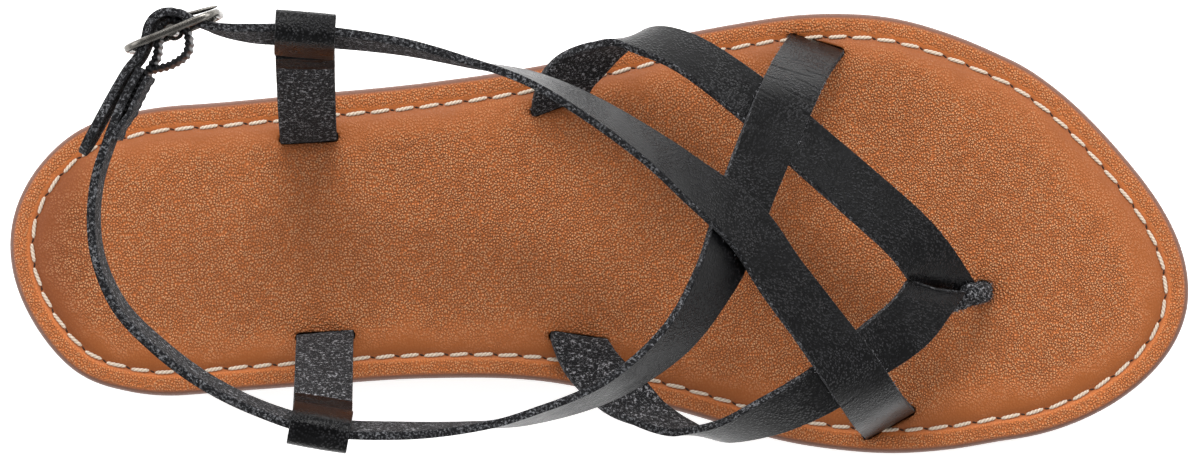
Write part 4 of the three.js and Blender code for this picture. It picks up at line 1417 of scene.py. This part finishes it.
def build_stitching():
    spots, run = stitch_line()
    count = int(round(run[-1] / sizes().stitch_pitch))
    pitch = run[-1] / count
    length = sizes().stitch_length
    points, faces, ply_shade, hole_shade_points, hole_shade_faces = [], [], [], [], []
    for i in range(count):
        middle = (i + FIRST_STITCH) * pitch
        uneven = 1 + UNEVEN_LENGTH * math.sin(i * UNEVEN_STEP)
        some, quads, ply_shades = one_stitch(spots, run, middle, length * uneven, sizes().thread_radius)
        add_part(points, faces, some, quads)
        ply_shade += ply_shades
        # A dark bead of painted shade at the needle hole between two stitches
        centre, ahead, side = seam_frame(spots, run, middle + pitch / 2)
        centre[2] += HOLE_SHADE_RADIUS * 0.5
        hole_shade = bead(centre, ahead + side * HOLE_SHADE_SLANT, side, UP, HOLE_SHADE_HALF, HOLE_SHADE_RADIUS)
        add_part(hole_shade_points, hole_shade_faces, *hole_shade)
    cream = thread_material("cream_thread", tuple(colours().thread_cream), CREAM_THREAD_DARK_AND_SHADE)
    thread = new_object("footbed_stitches", points, faces, [cream])
    set_point_values(thread.data, "ply_shade", ply_shade)
    finish_piece(thread, "footbed_leather")
    # Dark beads of painted shade at the needle holes
    hole_shades = new_object("footbed_hole_shades", hole_shade_points, hole_shade_faces, [hole_shade_material()])
    finish_piece(hole_shades, "footbed_leather")


# Straps

FIBRES = random.Random(7)
FIBRE_PITCH = 0.7 * MM
FIBRE_RADIUS = 0.045 * MM

# Loose fibres: their lengths, and the ranges that their places, directions and reach are drawn from
STRAP_FIBRE = 0.55 * MM
POST_FIBRE = 0.7 * MM
POST_FIBRE_SHARE = 0.06
FIBRE_SECTIONS = ((0, 0.6), (0.5, 1), (1, 0.25))
FIBRE_PLACES = (0.03, 0.93)
FIBRE_LEVELS = (-0.5, 0.4)
FIBRE_LEAN = (-1.2, 1.2)
FIBRE_LIFT = (-0.4, 0.6)
FIBRE_OUT = (0.25, 1)
FIBRE_REACH = (0.5, 1.3)
FIBRE_CURL = 0.5
FIBRE_SLANT = (0.3, 0.5, 0.81)

STRAP_TIP = 5 * MM
POST_LUMP = 0.35 * MM
BIG_LUMP = 1.1 * MM
SMALL_LUMP = 0.5 * MM
POST_STEP = 0.25 * MM
POST_SIDES = 36
POST_SQUARE = 0.75
POST_END = 1.2 * MM
POST_END_SHARE = 0.55
TONGUE_WIDTH = 2.6 * MM
TONGUE_THICKNESS = 2 * MM
SMOOTH_SIDE = {"outer_thong": 1, "inner_thong": -1, "heel_strap": 1, "buckle_strap": -1}
STRAP_ROWS = {
    "outer_thong": OUTER_THONG,
    "inner_thong": INNER_THONG,
    "heel_strap": HEEL_STRAP,
    "buckle_strap": BUCKLE_STRAP,
}


def build_strap(name):
    spots = strap_spots(STRAP_ROWS[name])
    tip = STRAP_TIP if name == "buckle_strap" else 0.0
    piece = strip_object("strap_" + name, spots, sizes().strap_width, STRAP_THICKNESS,
                         SMOOTH_SIDE[name], CREASES[name], tip, TOE_ENDS.get(name, SQUARE_END))
    finish_piece(piece, "strap_leather", "upper")
    path = Path(spots)
    roots = []
    for i in range(int(path.lengths()[1][-1] / FIBRE_PITCH)):
        at = path.at(FIBRES.uniform(*FIBRE_PLACES))
        edge = FIBRES.choice((-1, 1))
        through = FIBRES.uniform(*FIBRE_LEVELS) * STRAP_THICKNESS * SMOOTH_SIDE[name]
        place = at.place + at.down * edge * sizes().strap_width / 2 + at.face * through
        roots.append((place, at.down * edge, at.run))
    build_fibres("strap_" + name + "_fibres", roots, STRAP_FIBRE)


def build_fibres(name, roots, length):
    """Loose leather fibres: short spindles at places with their outward and cross directions."""
    points, faces = [], []
    for place, out, across in roots:
        lean = across * FIBRES.uniform(*FIBRE_LEAN) + UP * FIBRES.uniform(*FIBRE_LIFT)
        way = unit(out * FIBRES.uniform(*FIBRE_OUT) + lean)
        side = unit(np.cross(way, FIBRE_SLANT))
        other = np.cross(way, side)
        reach = length * FIBRES.uniform(*FIBRE_REACH)
        first = len(points)
        for share, thick in FIBRE_SECTIONS:
            curl = other * reach * FIBRE_CURL * share * share * FIBRES.uniform(-1, 1)
            centre = place + way * reach * share + curl
            points += [centre + (side * c + other * s) * FIBRE_RADIUS * thick for c, s in circle(3)]
        faces += ring_faces(3, 3, first)
        faces += [(first + 2, first + 1, first), (first + 6, first + 7, first + 8)]
    piece = new_object(name, points, faces, [fibre_material()])
    finish_piece(piece, "strap_leather")


def lump(place):
    """Uneven swelling of the twisted post, between -1 and 1."""
    small = noise.noise(Vector(place) / SMALL_LUMP)
    return noise.noise(Vector(place) / BIG_LUMP) + 0.5 * small


def build_toe_post():
    """The post of rolled suede, and the cut end that lies over the inner thong's corner."""
    points, faces, lay, roots = [], [], [], []
    post = rooted([placed(row) for row in TOE_POST], TOE_POST[0].along)
    tongue = [placed(row) for row in POST_TONGUE]
    parts = ((post, POST_WIDTH, POST_THICKNESS), (tongue, TONGUE_WIDTH, TONGUE_THICKNESS))
    for spots, width, thick in parts:
        path = Path(spots)
        ts, run = path.even(POST_STEP)
        first = len(points)
        for t, along in zip(ts, run):
            at = path.at(t)
            left = min(along, run[-1] - along)
            narrow = POST_END_SHARE + (1 - POST_END_SHARE) * math.sqrt(min(1.0, left / POST_END))
            for c, s in circle(POST_SIDES):
                a = squarer(c, POST_SQUARE) * width / 2 * narrow
                b = squarer(s, POST_SQUARE) * thick / 2 * narrow
                out = at.down * a + at.face * b
                spot = at.place + out
                spot = spot + unit(out) * lump(spot) * POST_LUMP
                points.append(spot)
                lay.append((along, a, b))
                if FIBRES.random() < POST_FIBRE_SHARE:
                    roots.append((spot, unit(out), at.run))
        faces += ring_faces(len(ts), POST_SIDES, first) + cap_faces(len(ts), POST_SIDES, first)
    piece = new_object("toe_post", points, faces, [suede_material()])
    set_point_values(piece.data, "lay", lay)
    finish_piece(piece, "strap_leather", "upper")
    build_fibres("toe_post_fibres", roots, POST_FIBRE)


# Tabs

TAB_LEAN = 0.35
TAB_CREASES = [
    Crease(8.4, 0, 0.9 * MM, 0.5 * MM, 1.7, 1),
]


def tab_spots(strap_rows, slot):
    """The tab's way: up outside the strap, over its top, down inside and lapped on its own leg."""
    spots = strap_spots(strap_rows)
    at = Path(spots).at((TAB_ROW + 1) / (len(spots) - 1))
    to_toe = at.run * np.sign(at.run[0])
    swing = math.degrees(math.atan2(to_toe[1], to_toe[0]))
    dip = math.degrees(math.asin(-to_toe[2]))
    half = sizes().strap_width / 2 + KEEPER_PLAY
    off = STRAP_THICKNESS / 2 + KEEPER_PLAY + TAB_THICKNESS / 2

    lower = unit(at.down * np.array((TAB_LEAN, 1, 1)))

    def spot(out, below):
        return Spot(at.place + at.outward * out + lower * below, swing, dip)

    foot = placed(slot)
    waist = spot(TAB_THICKNESS / 2, half + 2 * TAB_THICKNESS)
    to_foot = unit(foot.place - waist.place)
    inward = unit(np.cross(at.run, to_foot))
    inward *= -np.sign(inward.dot(at.outward)) * (TAB_THICKNESS - STRAP_PRESS)
    lap = Spot(waist.place + to_foot * TAB_LAP + inward, swing, dip)
    joint = Spot(waist.place + inward, swing, dip)
    way = [waist, spot(off, half), spot(off, -half), spot(0, -half - TAB_THICKNESS / 2)]
    way += [spot(-off, -half), spot(-off, half), joint, lap]
    return rooted([foot, *way], slot.along)


def build_tab(name, node, strap_rows, slot, side):
    piece = strip_object(name, tab_spots(strap_rows, slot), TAB_WIDTH, TAB_THICKNESS, side, TAB_CREASES)
    finish_piece(piece, "strap_leather", node)


# Elastic

RIB_PITCH = 1.2 * MM
RIB_HEIGHT = 0.27 * MM
BEAD_HEIGHT = 0.4 * MM
ELASTIC_STEP = 0.12 * MM
ELASTIC_COLUMNS = 12
EDGE_THIN = 0.45
COVER_SHARES = (1, 0.8, 0.6, 0.45, 0.3, 0.15, 0)


def inside_strap_end(thickness, length, setback, tail=0.0):
    """Spots of a strip that lies inside the strap's end, and over the elastic for the tail's length."""
    path = Path(strap_spots(HEEL_STRAP))
    last = HEEL_STRAP[-1]
    spots = []
    for share in COVER_SHARES:
        along = setback + length * share
        at = path.from_end(along)
        under = SEWN_ELASTIC * (1 - smoothstep(along, tail - PATCH_SLOPE, tail)) if tail else 0
        distance = (STRAP_THICKNESS + thickness) / 2 + under
        spots.append(Spot(at.place - at.outward * distance, last.swing, last.dip))
    return spots


def buckle_matrix():
    """Place of the buckle: X along its length, Y outward and Z along its bar."""
    to_bar = BAR_RADIUS + ELASTIC_THICKNESS + STRAP_THICKNESS / 2 + 3 * GAP
    place = Vector(placed(BUCKLE_STRAP[BAR_ROW]).place)
    place += Vector((math.sin(BUCKLE_TURN), -math.cos(BUCKLE_TURN), 0)) * to_bar
    return Matrix.Translation(place) @ Matrix.Rotation(BUCKLE_TURN, 4, "Z")


def ribbed_ribbon(spots):
    """Points, faces and lay of a woven elastic ribbon with ribs across it and beaded edges."""
    path = Path(spots)
    ts, run = path.even(ELASTIC_STEP)
    across = ELASTIC_COLUMNS
    points, lay = [], []
    for t, along in zip(ts, run):
        at = path.at(t)
        rib = 0.5 + 0.5 * math.cos(2 * math.pi * along / RIB_PITCH)
        half = ELASTIC_WIDTH / 2 + BEAD_HEIGHT * (rib - 0.5)
        thick = ELASTIC_THICKNESS / 2 - RIB_HEIGHT * (1 - rib)
        for k in range(2 * across):
            side = 1 if k < across else -1
            share = (k % across) / (across - 1) * 2 - 1
            a = side * share * half
            thin = 1 - EDGE_THIN * abs(share) ** 6
            points.append(at.place + at.down * a + at.face * thick * thin * side)
            lay.append((along, a, thick * side))
    return points, ring_faces(len(ts), 2 * across) + cap_faces(len(ts), 2 * across), lay


def build_elastic():
    tail = inside_strap_end(SEWN_ELASTIC, ELASTIC_TAIL, 0)
    nearest = BAR_RADIUS + GAP + ELASTIC_THICKNESS / 2
    to_world = buckle_matrix()
    loop = []
    for turn in ELASTIC_LOOP:
        radius = nearest + turn.off * BUCKLE_LENGTH
        angle = math.radians(turn.turn)
        place = to_world @ Vector((math.cos(angle) * radius, math.sin(angle) * radius, 0))
        loop.append(Spot(np.array(place), tail[-1].swing, tail[-1].dip))
    start = len(loop) // 2
    points, faces, lay = [], [], []
    for spots in (tail + loop[:start + 1], tail[-2:] + loop[start:][::-1]):
        some, quads, where = ribbed_ribbon(spots)
        add_part(points, faces, some, quads)
        lay += where
    piece = new_object("ribbed_elastic", points, faces, [elastic_material()])
    set_point_values(piece.data, "lay", lay)
    finish_piece(piece, "elastic", "elastic_loop")


PATCH_STITCHES = 7
PATCH_SEAM_INSET = 1.2 * MM
PATCH_STITCH_HALF = 0.75 * MM
PATCH_STITCH_RADIUS = 0.26 * MM


def build_elastic_cover():
    spots = inside_strap_end(PATCH_THICKNESS, PATCH_LENGTH, PATCH_SETBACK, ELASTIC_TAIL + PATCH_SLOPE)
    piece = strip_object("elastic_patch", spots, sizes().strap_width, PATCH_THICKNESS, 1)
    finish_piece(piece, "strap_leather", "elastic_cover")
    path = Path(spots)
    points, faces = [], []
    for edge in (-1, 1):
        for i in range(PATCH_STITCHES):
            at = path.at((i + 0.5) / PATCH_STITCHES)
            centre = at.place - at.outward * PATCH_THICKNESS / 2
            centre = centre + at.down * edge * (sizes().strap_width / 2 - PATCH_SEAM_INSET)
            stitch = bead(centre, at.run, at.down, -at.outward, PATCH_STITCH_HALF, PATCH_STITCH_RADIUS)
            add_part(points, faces, *stitch)
    black = thread_material("black_thread", BLACK_THREAD, BLACK_THREAD_DARK)
    thread = new_object("elastic_patch_stitches", points, faces, [black])
    set_point_values(thread.data, "ply_shade", [0.0] * len(points))
    finish_piece(thread, "strap_leather")


def bead(centre, along, across, up, half, radius):
    """A short rounded stitch."""
    rings, sides = 7, 10
    points = []
    for i in range(rings):
        angle = math.pi * (i / (rings - 1) - 0.5)
        reach = max(math.cos(angle), 0.05) * radius
        middle = centre + along * math.sin(angle) * half
        points += [middle + across * c * reach + up * s * reach for c, s in circle(sides)]
    return points, ring_faces(rings, sides) + cap_faces(rings, sides)


# Buckle

FRAME_SIDES = 20
FRAME_SQUARE = 0.7
CORNER_STEPS = 8
BAR_RINGS = 13
BAR_FLARE = 0.5
FLARE_START = 0.86
FLARE_LENGTH = 0.14


def rounded_loop(length, height, corner, steps):
    """Plan of a rounded frame or slot as places and outward directions."""
    x, y = length / 2 - corner, height / 2 - corner
    places = []
    for quarter, (sx, sy) in enumerate(((1, 1), (-1, 1), (-1, -1), (1, -1))):
        for step in range(steps + 1):
            angle = (quarter + step / steps) * math.pi / 2
            direction = (math.cos(angle), math.sin(angle))
            places.append(((sx * x + corner * direction[0], sy * y + corner * direction[1]), direction))
    return places


def build_buckle_frame():
    height = sizes().strap_width + 2 * (BUCKLE_PLAY + BUCKLE_BAND)
    middle = BUCKLE_BAND / 2
    corner = BUCKLE_CORNER - middle
    loop = rounded_loop(BUCKLE_LENGTH - BUCKLE_BAND, height - BUCKLE_BAND, corner, CORNER_STEPS)
    points = []
    to_world = buckle_matrix()
    for (x, z), (ox, oz) in loop:
        for c, s in circle(FRAME_SIDES):
            a = squarer(c, FRAME_SQUARE) * middle
            b = squarer(s, FRAME_SQUARE) * BUCKLE_DEPTH / 2
            points.append(to_world @ Vector((x + ox * a, b, z + oz * a)))
    faces = ring_faces(len(loop), FRAME_SIDES, closed=True)
    first = len(points)
    reach = height / 2 - BUCKLE_BAND / 2
    for z in np.linspace(-reach, reach, BAR_RINGS):
        flare = 1 + BAR_FLARE * max(0.0, (abs(z) / reach - FLARE_START) / FLARE_LENGTH) ** 2
        for c, s in circle(FRAME_SIDES):
            points.append(to_world @ Vector((c * BAR_RADIUS * flare, s * BAR_RADIUS * flare, z)))
    faces += ring_faces(BAR_RINGS, FRAME_SIDES, first) + cap_faces(BAR_RINGS, FRAME_SIDES, first)
    piece = new_object("nickel_frame", points, faces, [nickel_material()])
    finish_piece(piece, "buckle_metal", "buckle_frame")


Way = namedtuple("Way", "reach lift")
PRONG_WAY = [Way(0.14, 0), Way(0.35, 1), Way(0.6, 0)]
PRONG_SIDES = 14
PRONG_STEPS = 40
PRONG_FLAT = 1.25
PRONG_TAPER = 0.5
TAPER_START = 0.8
TAPER_LENGTH = 0.2
TIP_START = 0.95
TIP_LENGTH = 0.05
BLUNT_TIP = 0.05
COIL_STEPS = 40
COIL_SIDES = 12


def build_prong():
    to_world = buckle_matrix()
    start = BAR_RADIUS + GAP + PRONG_RADIUS
    rest = BUCKLE_DEPTH / 2 + GAP + PRONG_RADIUS
    bend = rest + PRONG_RADIUS
    to_rail = (BUCKLE_LENGTH - BUCKLE_BAND) / 2
    way = [(0, start), *((w.reach * to_rail, bend + w.lift * GAP) for w in PRONG_WAY)]
    way.append((to_rail + PRONG_RADIUS, rest))
    curve = Curve([[x, y, 0] for x, y in way])
    points = []
    for i in range(PRONG_STEPS + 1):
        t = i / PRONG_STEPS
        place, run = curve.at(t), curve.tangent(t)
        side = np.cross(run, (0, 0, 1))
        narrow = 1 - PRONG_TAPER * max(0.0, (t - TAPER_START) / TAPER_LENGTH) ** 2
        narrow *= math.sqrt(max(BLUNT_TIP, 1 - max(0.0, (t - TIP_START) / TIP_LENGTH) ** 2))
        for c, s in circle(PRONG_SIDES):
            flat = UP * s * PRONG_RADIUS * PRONG_FLAT * narrow
            points.append(to_world @ Vector(place + side * c * PRONG_RADIUS * narrow + flat))
    rings = PRONG_STEPS + 1
    faces = ring_faces(rings, PRONG_SIDES) + cap_faces(rings, PRONG_SIDES)
    first = len(points)
    middle = BAR_RADIUS + GAP + COIL_WALL / 2
    for x, y in circle(COIL_STEPS):
        for c, s in circle(COIL_SIDES):
            reach = middle + c * COIL_WALL / 2
            points.append(to_world @ Vector((x * reach, y * reach, s * COIL_WALL)))
    faces += ring_faces(COIL_STEPS, COIL_SIDES, first, closed=True)
    piece = new_object("nickel_prong", points, faces, [nickel_material()])
    finish_piece(piece, "buckle_metal", "buckle_prong")


# Stage

CAMERA_PLACE = (90.05 * MM, 4.15 * MM, 1012 * MM)
CAMERA_LENS = 141.0
CAMERA_SENSOR = 36.0
CAMERA_CLIP = (0.01, 50)

Lamp = namedtuple("Lamp", "name place size power")
LAMPS = [
    Lamp("outer_softbox", (0.09, 1.5, 1.4), 0.9, 26.5),
    Lamp("toe_softbox", (1.25, 0.8, 1.5), 0.9, 10.5),
    Lamp("heel_softbox", (-1.45, 0.3, 1.3), 1.3, 11.5),
    Lamp("inner_softbox", (1.1, -0.9, 1.5), 0.6, 3.0),
]
LAMP_AIM = (90 * MM, 0, 20 * MM)

# The room's light fades overhead and on the inner side: first the part of the room's sphere where it
# fades, upward or outward, then the light at either end of it.
DARK_OVERHEAD = (0.6, 0.97)
ROOM_LIGHT = (0.85, 0.16)
DARK_INNER_SIDE = (-0.6, 0.1)
INNER_LIGHT = (0.75, 1.0)
FLOOR_GLOW = 0.6


def add_area_light(lamp):
    light = bpy.data.lights.new(lamp.name, "AREA")
    light.shape = "SQUARE"
    light.size = lamp.size
    light.energy = lamp.power
    holder = bpy.data.objects.new(lamp.name, light)
    holder.location = lamp.place
    aim = Vector(LAMP_AIM) - Vector(lamp.place)
    holder.rotation_euler = aim.to_track_quat("-Z", "Y").to_euler()
    bpy.context.scene.collection.objects.link(holder)


def build_floor():
    reach = sizes().floor_reach
    s = Shader("pale_floor")
    s.set(Base_Color=(*colours().floor_white, 1), Roughness=0.9, Specular_IOR_Level=0.1,
          Emission_Color=(1, 1, 1, 1), Emission_Strength=FLOOR_GLOW)
    points = [(-reach, -reach, 0), (reach, -reach, 0), (reach, reach, 0), (-reach, reach, 0)]
    floor = new_object("floor", points, [(0, 1, 2, 3)], [s.material])


def build_camera():
    lens = bpy.data.cameras.new("camera")
    lens.lens = CAMERA_LENS
    lens.sensor_width = CAMERA_SENSOR
    lens.sensor_fit = "HORIZONTAL"
    lens.clip_start, lens.clip_end = CAMERA_CLIP
    holder = bpy.data.objects.new("camera", lens)
    holder.location = CAMERA_PLACE
    bpy.context.scene.collection.objects.link(holder)
    bpy.context.scene.camera = holder


def build_lights():
    """Four soft boxes, brightest at the outer side, in a pale room, darker overhead and inward."""
    world = bpy.data.worlds.new("studio")
    world.use_nodes = True
    tree = world.node_tree
    split = tree.nodes.new("ShaderNodeSeparateXYZ")
    tree.links.new(tree.nodes.new("ShaderNodeTexCoord").outputs["Generated"], split.inputs[0])
    both = tree.nodes.new("ShaderNodeMath")
    both.operation = "MULTIPLY"
    fades = (("Z", DARK_OVERHEAD, ROOM_LIGHT), ("Y", DARK_INNER_SIDE, INNER_LIGHT))
    for place, (axis, span, light) in enumerate(fades):
        fade = tree.nodes.new("ShaderNodeMapRange")
        for key, value in zip(("From Min", "From Max", "To Min", "To Max"), (*span, *light)):
            fade.inputs[key].default_value = value
        tree.links.new(split.outputs[axis], fade.inputs["Value"])
        tree.links.new(fade.outputs["Result"], both.inputs[place])
    tree.links.new(both.outputs[0], tree.nodes["Background"].inputs["Strength"])
    tree.nodes["Background"].inputs["Color"].default_value = (1, 1, 1, 1)
    bpy.context.scene.world = world
    for lamp in LAMPS:
        add_area_light(lamp)
    bpy.context.scene.view_settings.view_transform = "Standard"
    bpy.context.scene.view_settings.look = "None"


# Operators

class SANDAL_OT_stage(bpy.types.Operator):
    """Add the floor, the lights and the camera"""
    bl_idname = "sandal.stage"
    bl_label = "Stage"

    def execute(self, context):
        build_camera()
        build_floor()
        build_lights()
        return {"FINISHED"}


class SANDAL_OT_outsole(bpy.types.Operator):
    """Build the moulded outsole with its heel and tread"""
    bl_idname = "sandal.outsole"
    bl_label = "Outsole"

    def execute(self, context):
        build_outsole()
        return {"FINISHED"}


class SANDAL_OT_footbed(bpy.types.Operator):
    """Build the padded tan footbed with its slots"""
    bl_idname = "sandal.footbed"
    bl_label = "Footbed"

    def execute(self, context):
        build_footbed()
        return {"FINISHED"}


class SANDAL_OT_stitching(bpy.types.Operator):
    """Sew the cream stitches round the footbed"""
    bl_idname = "sandal.stitching"
    bl_label = "Footbed stitching"

    def execute(self, context):
        build_stitching()
        return {"FINISHED"}


class SANDAL_OT_straps(bpy.types.Operator):
    """Build the four crossed straps and the toe post"""
    bl_idname = "sandal.straps"
    bl_label = "Straps"

    def execute(self, context):
        for name in STRAP_ROWS:
            build_strap(name)
        build_toe_post()
        return {"FINISHED"}


class SANDAL_OT_tabs(bpy.types.Operator):
    """Build the two folded tabs that hold the ankle strap"""
    bl_idname = "sandal.tabs"
    bl_label = "Tabs"

    def execute(self, context):
        build_tab("folded_tab_outer", "keeper_outer", BUCKLE_STRAP, OUTER_SLOT, 1)
        build_tab("folded_tab_inner", "keeper_inner", HEEL_STRAP, INNER_SLOT, -1)
        return {"FINISHED"}


class SANDAL_OT_elastic(bpy.types.Operator):
    """Build the ribbed elastic and the patch that covers its end"""
    bl_idname = "sandal.elastic"
    bl_label = "Elastic"

    def execute(self, context):
        build_elastic()
        build_elastic_cover()
        return {"FINISHED"}


class SANDAL_OT_buckle(bpy.types.Operator):
    """Build the buckle's frame and prong"""
    bl_idname = "sandal.buckle"
    bl_label = "Buckle"

    def execute(self, context):
        build_buckle_frame()
        build_prong()
        return {"FINISHED"}


STEPS = (
    SANDAL_OT_stage,
    SANDAL_OT_outsole,
    SANDAL_OT_footbed,
    SANDAL_OT_stitching,
    SANDAL_OT_straps,
    SANDAL_OT_tabs,
    SANDAL_OT_elastic,
    SANDAL_OT_buckle,
)


class SANDAL_PT_panel(bpy.types.Panel):
    """Sizes, colours and build steps of the sandal"""
    bl_idname = "SANDAL_PT_panel"
    bl_label = "Strappy Sandal"
    bl_space_type = "VIEW_3D"
    bl_region_type = "UI"
    bl_category = "Sandal"

    def draw(self, context):
        for group in (context.scene.sandal_sizes, context.scene.sandal_colours):
            box = self.layout.box()
            for name in group.__annotations__:
                box.prop(group, name)
        for step in STEPS:
            self.layout.operator(step.bl_idname)


CLASSES = (SandalSizes, SandalColours, *STEPS, SANDAL_PT_panel)


def register():
    for made in CLASSES:
        bpy.utils.register_class(made)
    bpy.types.Scene.sandal_sizes = bpy.props.PointerProperty(type=SandalSizes)
    bpy.types.Scene.sandal_colours = bpy.props.PointerProperty(type=SandalColours)


def unregister():
    del bpy.types.Scene.sandal_colours
    del bpy.types.Scene.sandal_sizes
    for made in reversed(CLASSES):
        bpy.utils.unregister_class(made)


def main():
    register()
    for step in STEPS:
        group, name = step.bl_idname.split(".")
        getattr(getattr(bpy.ops, group), name)()


if __name__ == "__main__":
    main()
